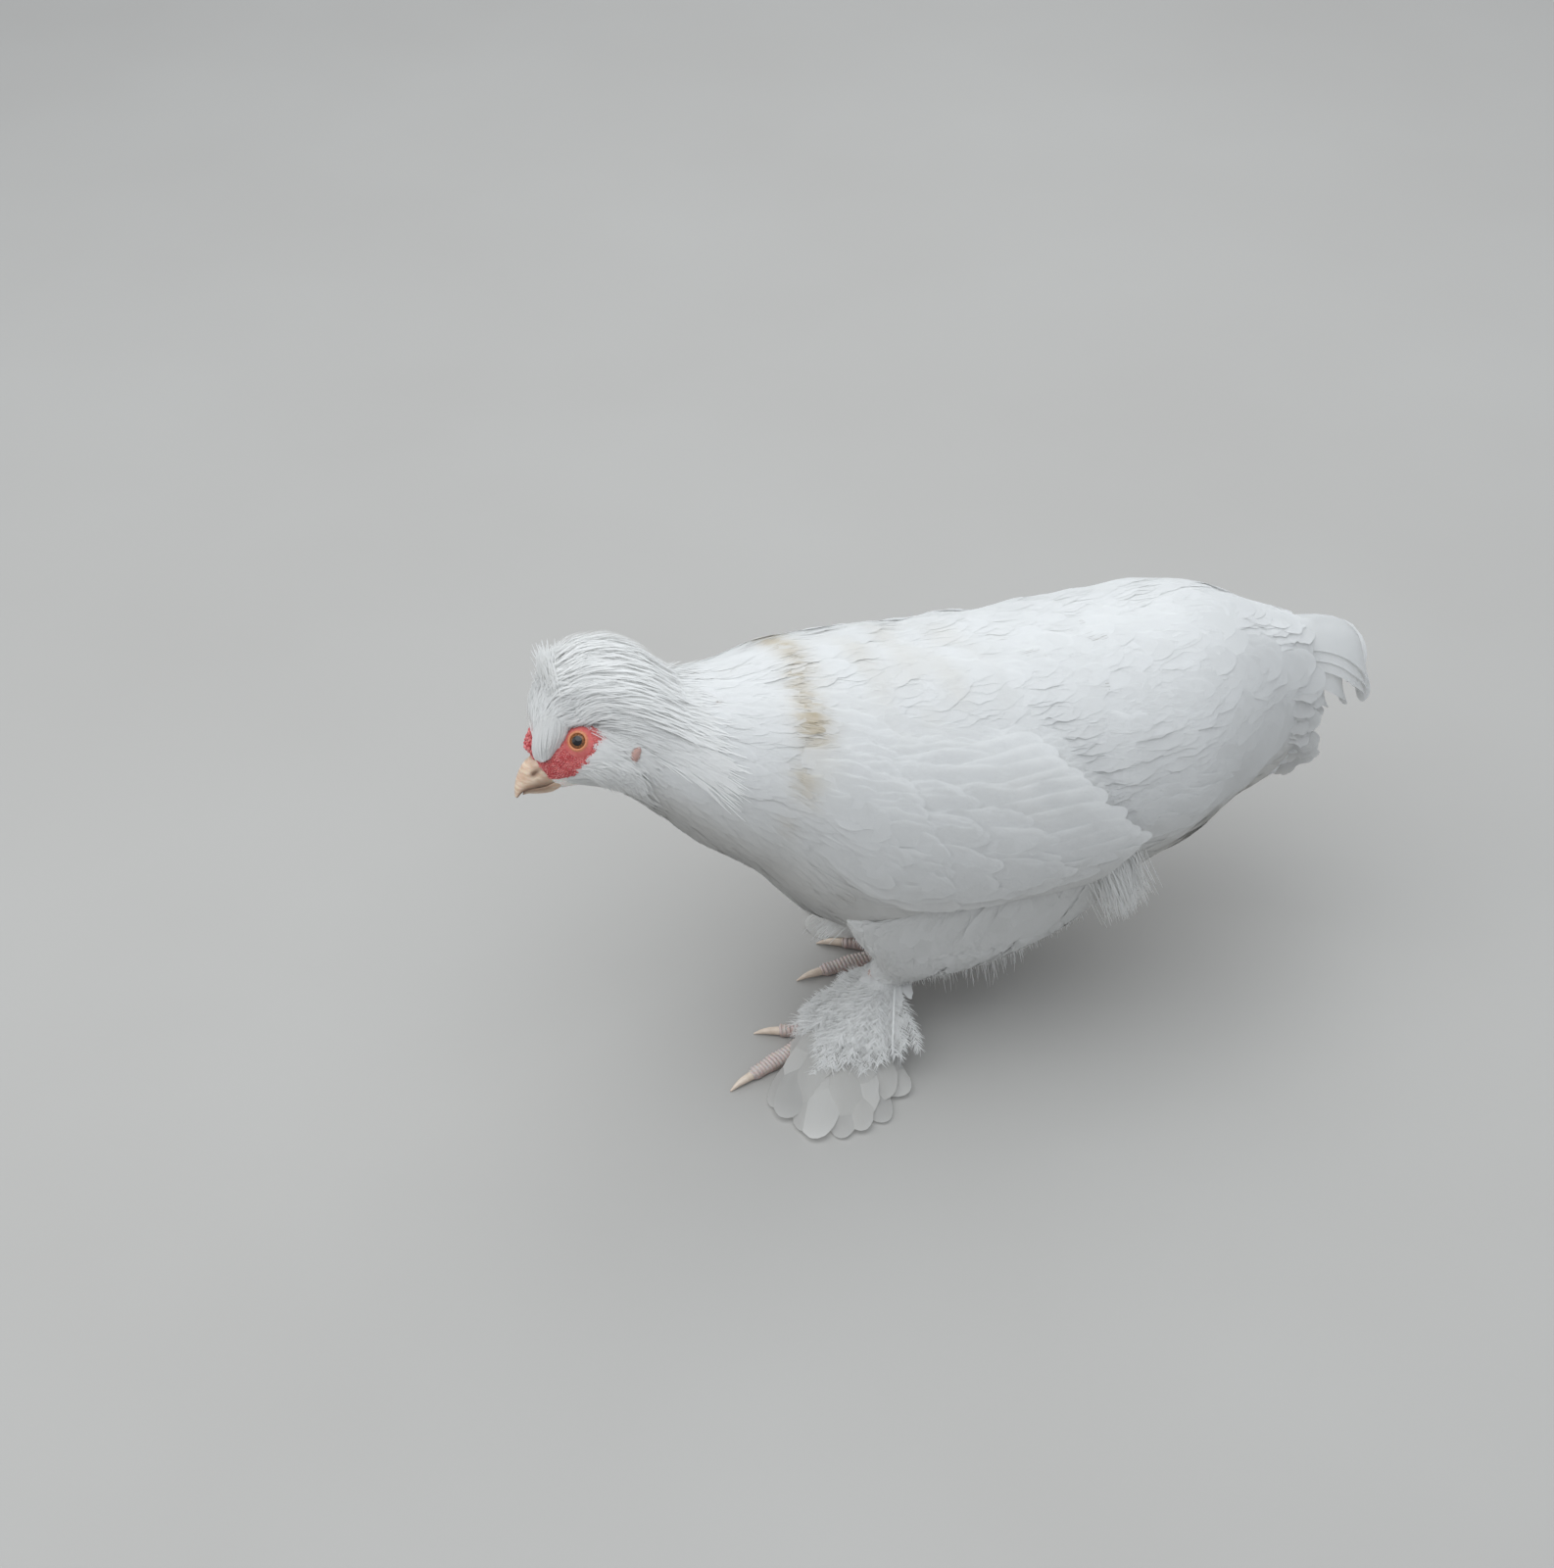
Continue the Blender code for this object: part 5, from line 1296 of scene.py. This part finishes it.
# Share of the length of shank and claw, and their radius there
SHANK = ((0, 0.0080), (0.25, 0.0062), (0.55, 0.0050), (0.85, 0.0052), (1, 0.0056))
CLAW = ((0, 0.0019), (0.35, 0.0016), (0.7, 0.0010), (1, 0.0003))
PAD_LENGTH, PAD_RADIUS, PAD_SINKS = 0.0072, 0.0066, 0.0038
CLAW_LENGTH, CLAW_HEIGHT = 0.0100, 0.0024
SCUTE_STEP, SCUTE_TILT, SCUTES_FROM = 0.0017, 20, 6
UP = np.array((0, 0, 1))
foot_look, wire, shader = finish("pink_scutes", Subsurface_Weight=0.2, Subsurface_Scale=0.0015)
fine, patchy = grain(wire, 1400.0), grain(wire, 190.0)
pink = patchy.step(0.3, 0.7).tint((0.42, 0.31, 0.28, 1), (0.54, 0.44, 0.40, 1))
ridge = wire.node("ShaderNodeAttribute", {"attribute_name": "ridge"}, out=2)
pink = (ridge.step(0.0, 0.45) * 0.8).tint(pink, (0.60, 0.53, 0.50, 1))
dress(wire, shader, colour=(fine.step(0.55, 0.8) * 0.4).tint(pink, (0.48, 0.33, 0.28, 1)),
      roughness=0.42 + fine * 0.25, relief=fine, height=0.00008)
claw_look, wire, shader = finish("claw_horn", Coat_Weight=0.2)
dress(wire, shader, colour=grain(wire, 330.0).tint((0.50, 0.38, 0.29, 1), (0.74, 0.64, 0.53, 1)),
      roughness=0.32 + grain(wire, 900.0) * 0.2)


def along_path(path, radii, columns, flat=1.0, floor=None):
    """Rings of a round rod along a path. flat presses it, and a floor at a height cuts its underside flat."""
    path = np.asarray(path, float)
    ways = unit(np.gradient(path, axis=0))
    sides = unit(np.cross(ways, (0, 0, 1.0)))
    ups = np.cross(sides, ways)
    turn = np.arange(columns) * 2 * math.pi / columns
    ring = np.cos(turn)[:, None] * sides[:, None] + np.sin(turn)[:, None] * ups[:, None] * flat
    rings = path[:, None] + ring * np.reshape(radii, (-1, 1, 1))
    if floor is not None:
        rings[..., 2] = np.maximum(rings[..., 2], floor)
    return rings


# Geometry Nodes that set tilted plates along a toe's path, as large as its point number "thick"
scutes = bpy.data.node_groups.new("scutes", "GeometryNodeTree")
for word, kind in (("Path", "Geometry"), ("Spacing", "Float"), ("Tilt", "Vector")):
    scutes.interface.new_socket(word, in_out="INPUT", socket_type="NodeSocket" + kind)
scutes.interface.new_socket("Scutes", in_out="OUTPUT", socket_type="NodeSocketGeometry")
wire = Wire(scutes)
path, spacing, tilt = (wire.node("NodeGroupInput", out=k) for k in range(3))
curve = wire.node("GeometryNodeMeshToCurve", (), {"Mesh": path})
curve = wire.node("GeometryNodeResampleCurve", {"mode": "LENGTH"}, {"Curve": curve, "Length": spacing})
plate = wire.node("GeometryNodeMeshUVSphere", (), {"Segments": 14, "Rings": 8, "Radius": 1.0})
plate = wire.node("GeometryNodeTransform", (), {
    "Geometry": plate, "Translation": (0, 0, 0.18), "Rotation": tilt, "Scale": (0.36, 1.07, 0.92)})
plate = wire.node("GeometryNodeStoreNamedAttribute", {"data_type": "FLOAT", "domain": "POINT"}, {
    "Geometry": plate, "Name": "ridge", "Value": wire.node("GeometryNodeInputPosition").part(0)})
facing = wire.node("FunctionNodeAlignRotationToVector", {"axis": "X", "pivot_axis": "Z"},
                   {"Vector": wire.node("GeometryNodeInputTangent")})
thick = wire.node("GeometryNodeInputNamedAttribute", {"data_type": "FLOAT"}, {"Name": "thick"})
plates = wire.node("GeometryNodeInstanceOnPoints", (), {
    "Points": curve, "Instance": plate, "Rotation": facing, "Scale": thick})
plates = wire.node("GeometryNodeRealizeInstances", (), {"Geometry": plates})
plates = wire.node("GeometryNodeSetShadeSmooth", (), {"Geometry": plates})
plates = wire.node("GeometryNodeSetMaterial", (), {"Geometry": plates, "Material": foot_look})
scutes.links.new(plates.socket, scutes.nodes.new("NodeGroupOutput").inputs[0])

for word, side in SIDES.items():
    middle, hock, out_by = np.array(FOOT_AT[side]), np.array(HOCKS[side]), TURNED_OUT[side]
    ground = np.array((middle[0], middle[1], 0))
    share = np.linspace(0, 1, 24)[:, None]
    shank = hock + (middle - hock) * share + stand
    radii = np.interp(share.ravel(), *np.array(SHANK).T)
    parts = [closed_tube("shank", along_path(shank, radii, 24), foot_look)]
    pad = np.linspace(-0.96, 0.96, 20)
    path = middle + stand + np.stack((pad * PAD_LENGTH, 0 * pad, 0 * pad - PAD_SINKS), -1)
    radii = PAD_RADIUS * np.sqrt(1 - pad**2)
    parts.append(closed_tube("pad", along_path(path, radii, 24, 0.8, 0.0), foot_look))
    for number, inside, length, radius, swellings in TOES:
        radius *= TOE_SWELL
        heading = math.radians(side * (out_by - inside))
        ahead = np.array((-math.cos(heading), math.sin(heading), 0))
        f = np.linspace(0, 1, 60)
        height = TOE_ROOT_HEIGHT + (TOE_HEIGHT - TOE_ROOT_HEIGHT) * np.minimum(1, f / 0.35) - 0.0006 * f
        path = ground + ahead * (length * f)[:, None] + UP * height[:, None] + stand
        joints = 1 + 0.07 * np.cos(2 * math.pi * f * swellings)
        radii = radius * (1.12 - 0.34 * f) * joints * np.clip(6 * (1.08 - f), 0, 1)
        parts.append(closed_tube("toe", along_path(path, radii * 0.97, 20, 0.95, 0.0), foot_look))
        line = bpy.data.meshes.new("toe_path")
        path = path[SCUTES_FROM:]
        line.from_pydata(path.tolist(), [(k, k + 1) for k in range(len(path) - 1)], [])
        line = bpy.data.objects.new("toe_path", line)
        bpy.context.scene.collection.objects.link(line)
        numbers(line, "thick", radii[SCUTES_FROM:])
        tilt = (0.0, math.radians(SCUTE_TILT), 0.0)
        parts.append(grown("toe_scutes", line, scutes, Spacing=SCUTE_STEP, Tilt=tilt))
        bpy.data.objects.remove(line)

        root = np.array((middle[0], middle[1], CLAW_HEIGHT)) + ahead * (length + 0.0003) + stand
        f = np.linspace(0, 1, 24)[:, None]
        nail = root + ahead * CLAW_LENGTH * f - ahead * 0.0014 * (1 - f) ** 4
        nail = nail + UP * (0.0008 * f - 0.0028 * f**2)
        rings = along_path(nail, np.interp(f.ravel(), *np.array(CLAW).T), 16, 1.0, 0.0)
        claw = closed_tube("claw_" + word + "_" + str(number) + "_horn", rings, claw_look)
        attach(claw, "root")
        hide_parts("claw_" + word + "_" + str(number))
    join = bmesh.new()
    for piece in parts:
        join.from_mesh(piece.data)
    foot = bpy.data.meshes.new("foot_" + word + "_skin")
    join.to_mesh(foot)
    join.free()
    foot.polygons.foreach_set("use_smooth", [True] * len(foot.polygons))
    foot.polygons.foreach_set("material_index", [0] * len(foot.polygons))
    foot.materials.clear()
    foot.materials.append(foot_look)
    foot = bpy.data.objects.new("foot_" + word + "_skin", foot)
    bpy.context.scene.collection.objects.link(foot)
    for piece in parts:
        bpy.data.objects.remove(piece)
    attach(foot, "root")
    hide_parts("foot_" + word)


# Boots: long stiff feathers that grow out of the outer side of each shank and spread over the ground, broad
# and round at their ends, under a deep mass of fine down and small soft feathers that hangs from the hock.
# One thin single feather stands out of it on each outer side.
BOOT_TIERS = (
    # place on the shank, how many, first and last heading (degrees), length, height of the tips, half width
    (0.05, 8, 42, 108, 0.0655, 0.0018, 0.0088), (0.16, 7, 40, 108, 0.054, 0.0050, 0.0090),
    (0.28, 6, 34, 108, 0.042, 0.0085, 0.0088))
BOOT_ROWS, BOOT_GAP = 14, 0.0012
BOOT_DOWN = (
    # how many plumes, their length, their barbs' length, first and last heading (degrees)
    (200, 0.021, 0.0090, -50, 98), (190, 0.034, 0.0080, 45, 100))
BARBS = 42


def downy(roots, ways, length, reach, faces_to):
    """The barbs of down plumes: fine soft hairs that spray from both sides of each hanging midrib."""
    ribs = hanging(roots, ways, length, 0.8, 0.25, 9)
    share = CHANCE.uniform(0.05, 1.0, (len(roots), BARBS))
    row = np.minimum((share * 8).astype(int), 7)
    plume = np.arange(len(roots))[:, None]
    step = ribs[plume, row + 1] - ribs[plume, row]
    start, way = ribs[plume, row] + step * (share * 8 - row)[..., None], unit(step)
    aside = unit(np.cross(way, faces_to[:, None] + CHANCE.normal(0, 0.5, (len(roots), 1, 3))))
    aside *= np.where(CHANCE.random(share.shape) < 0.5, -1, 1)[..., None]
    way = unit(way * 0.8 + aside * 0.8 + CHANCE.normal(0, 0.22, start.shape))
    long = (reach * (1.05 - 0.6 * share) * CHANCE.uniform(0.6, 1.1, share.shape))[..., None]
    f = np.linspace(0, 1, 4)[:, None]
    sag = np.array((0, 0, -0.25)) * (long[..., None] * f**2)
    centres = (start[:, :, None] + (way * long)[:, :, None] * f + sag).reshape(-1, 4, 3)
    outs = np.repeat(unit(faces_to), BARBS, axis=0)[:, None] + 0 * centres
    wide = 0.00012 * np.array((1.0, 0.9, 0.7, 0.3)) + np.zeros((len(centres), 1))
    return sheets(centres, outs, wide, 1, bow=0.0, roll=0.0, frayed=0.0, softness=0.75)


def outwards(side, heading):
    """Level ways from a foot, so many radians from straight ahead towards its outer side."""
    return np.stack((-np.cos(heading), side * np.sin(heading), 0 * heading), -1)


for word, side in SIDES.items():
    middle, hock = np.array(FOOT_AT[side]), np.array(HOCKS[side])
    batches = []
    for k, (place, count, first, last, length, tip_height, half) in enumerate(BOOT_TIERS):
        share = np.linspace(0, 1, count)
        out = outwards(side, np.radians(first + (last - first) * share + CHANCE.normal(0, 3, count)))
        root = middle + (hock - middle) * place + out * 0.001
        reach = length * CHANCE.uniform(0.93, 1.0, count) * (0.80 + 0.20 * np.sin(math.pi * share))
        f = steps_down(BOOT_ROWS)
        drop = tip_height + 0.0012 * (np.arange(count) % 2) - root[:, 2]
        curl = -0.0022 * ramp(f, 0.75, 1.0)
        z = drop[:, None] * f**0.7 + 0.0014 * np.sin(math.pi * f) + curl * (k > 0)
        centres = root[:, None] + out[:, None] * (reach[:, None] * f)[..., None] + UP * z[..., None] + stand
        centres[..., 2] = np.maximum(centres[..., 2], BOOT_GAP)
        outs = unit(UP + out[:, None] * (0.9 - 0.8 * f)[:, None])
        wide = blade_widths(half * CHANCE.uniform(0.8, 1.1, count), BOOT_ROWS, 0.4, 0.72)
        roll = side * 6.0 + CHANCE.normal(0, 6, count)
        made = sheets(centres, outs, wide, 8, bow=34.0, roll=roll, frayed=0.12, softness=0.2)
        made["marks"] = plain_marks(count, BOOT_ROWS)
        made["marks"] += (0.5, 0, 0.75, 0) * CHANCE.uniform(0.4, 1, (count, 1, 1))
        batches.append(made)
    count = 900
    places = np.stack((CHANCE.uniform(0.86, 1.50, count), CHANCE.uniform(*ALL_ROUND, count)), -1)
    batches.append(lay(places, 0.012, 0.0024, (-0.0006, 0.0010), droop=0, columns=2, frayed=0.4, marks=None,
                       surface=partial(on_thigh, side)))
    for count, reach, barb, first, last in BOOT_DOWN:
        heading = np.radians(CHANCE.uniform(first, last, count))
        out = outwards(side, heading)
        roots = middle + (hock - middle) * CHANCE.uniform(0.10, 0.85, (count, 1)) + out * 0.0040 + stand
        length = reach * CHANCE.uniform(0.6, 1.05, count) * (0.70 + 0.30 * np.sin(heading))
        batches.append(downy(roots, out + (0, 0, 0.1), length, barb, out + (0, 0, 0.8)))
    count = 380
    out = outwards(side, np.radians(CHANCE.uniform(-60, 105, count)))
    roots = middle + (hock - middle) * CHANCE.uniform(0.1, 1.0, (count, 1)) + out * 0.0030 + stand
    batches.append(plumes(roots, out + (0, 0, -0.1), CHANCE.uniform(0.008, 0.017, count), 0.0030, 0.9, 0.25,
                          faces_to=out + (0, 0, 0.9), rows=8, columns=4, frayed=0.5, widest=0.5,
                          softness=0.8))
    root = hock + stand + np.array(((-0.002, side * 0.008, -0.001),))
    way = np.array(((-0.35, side * 0.9, 0.1),))
    batches.append(plumes(root, way, 0.036, 0.0004, 0.9, 0.0, faces_to=(0, side, 1.0), rows=14, frayed=0.0,
                          tip=0.3))
    plumage_piece("boot_" + word + "_feathers", batches, ("foot_" + word,))
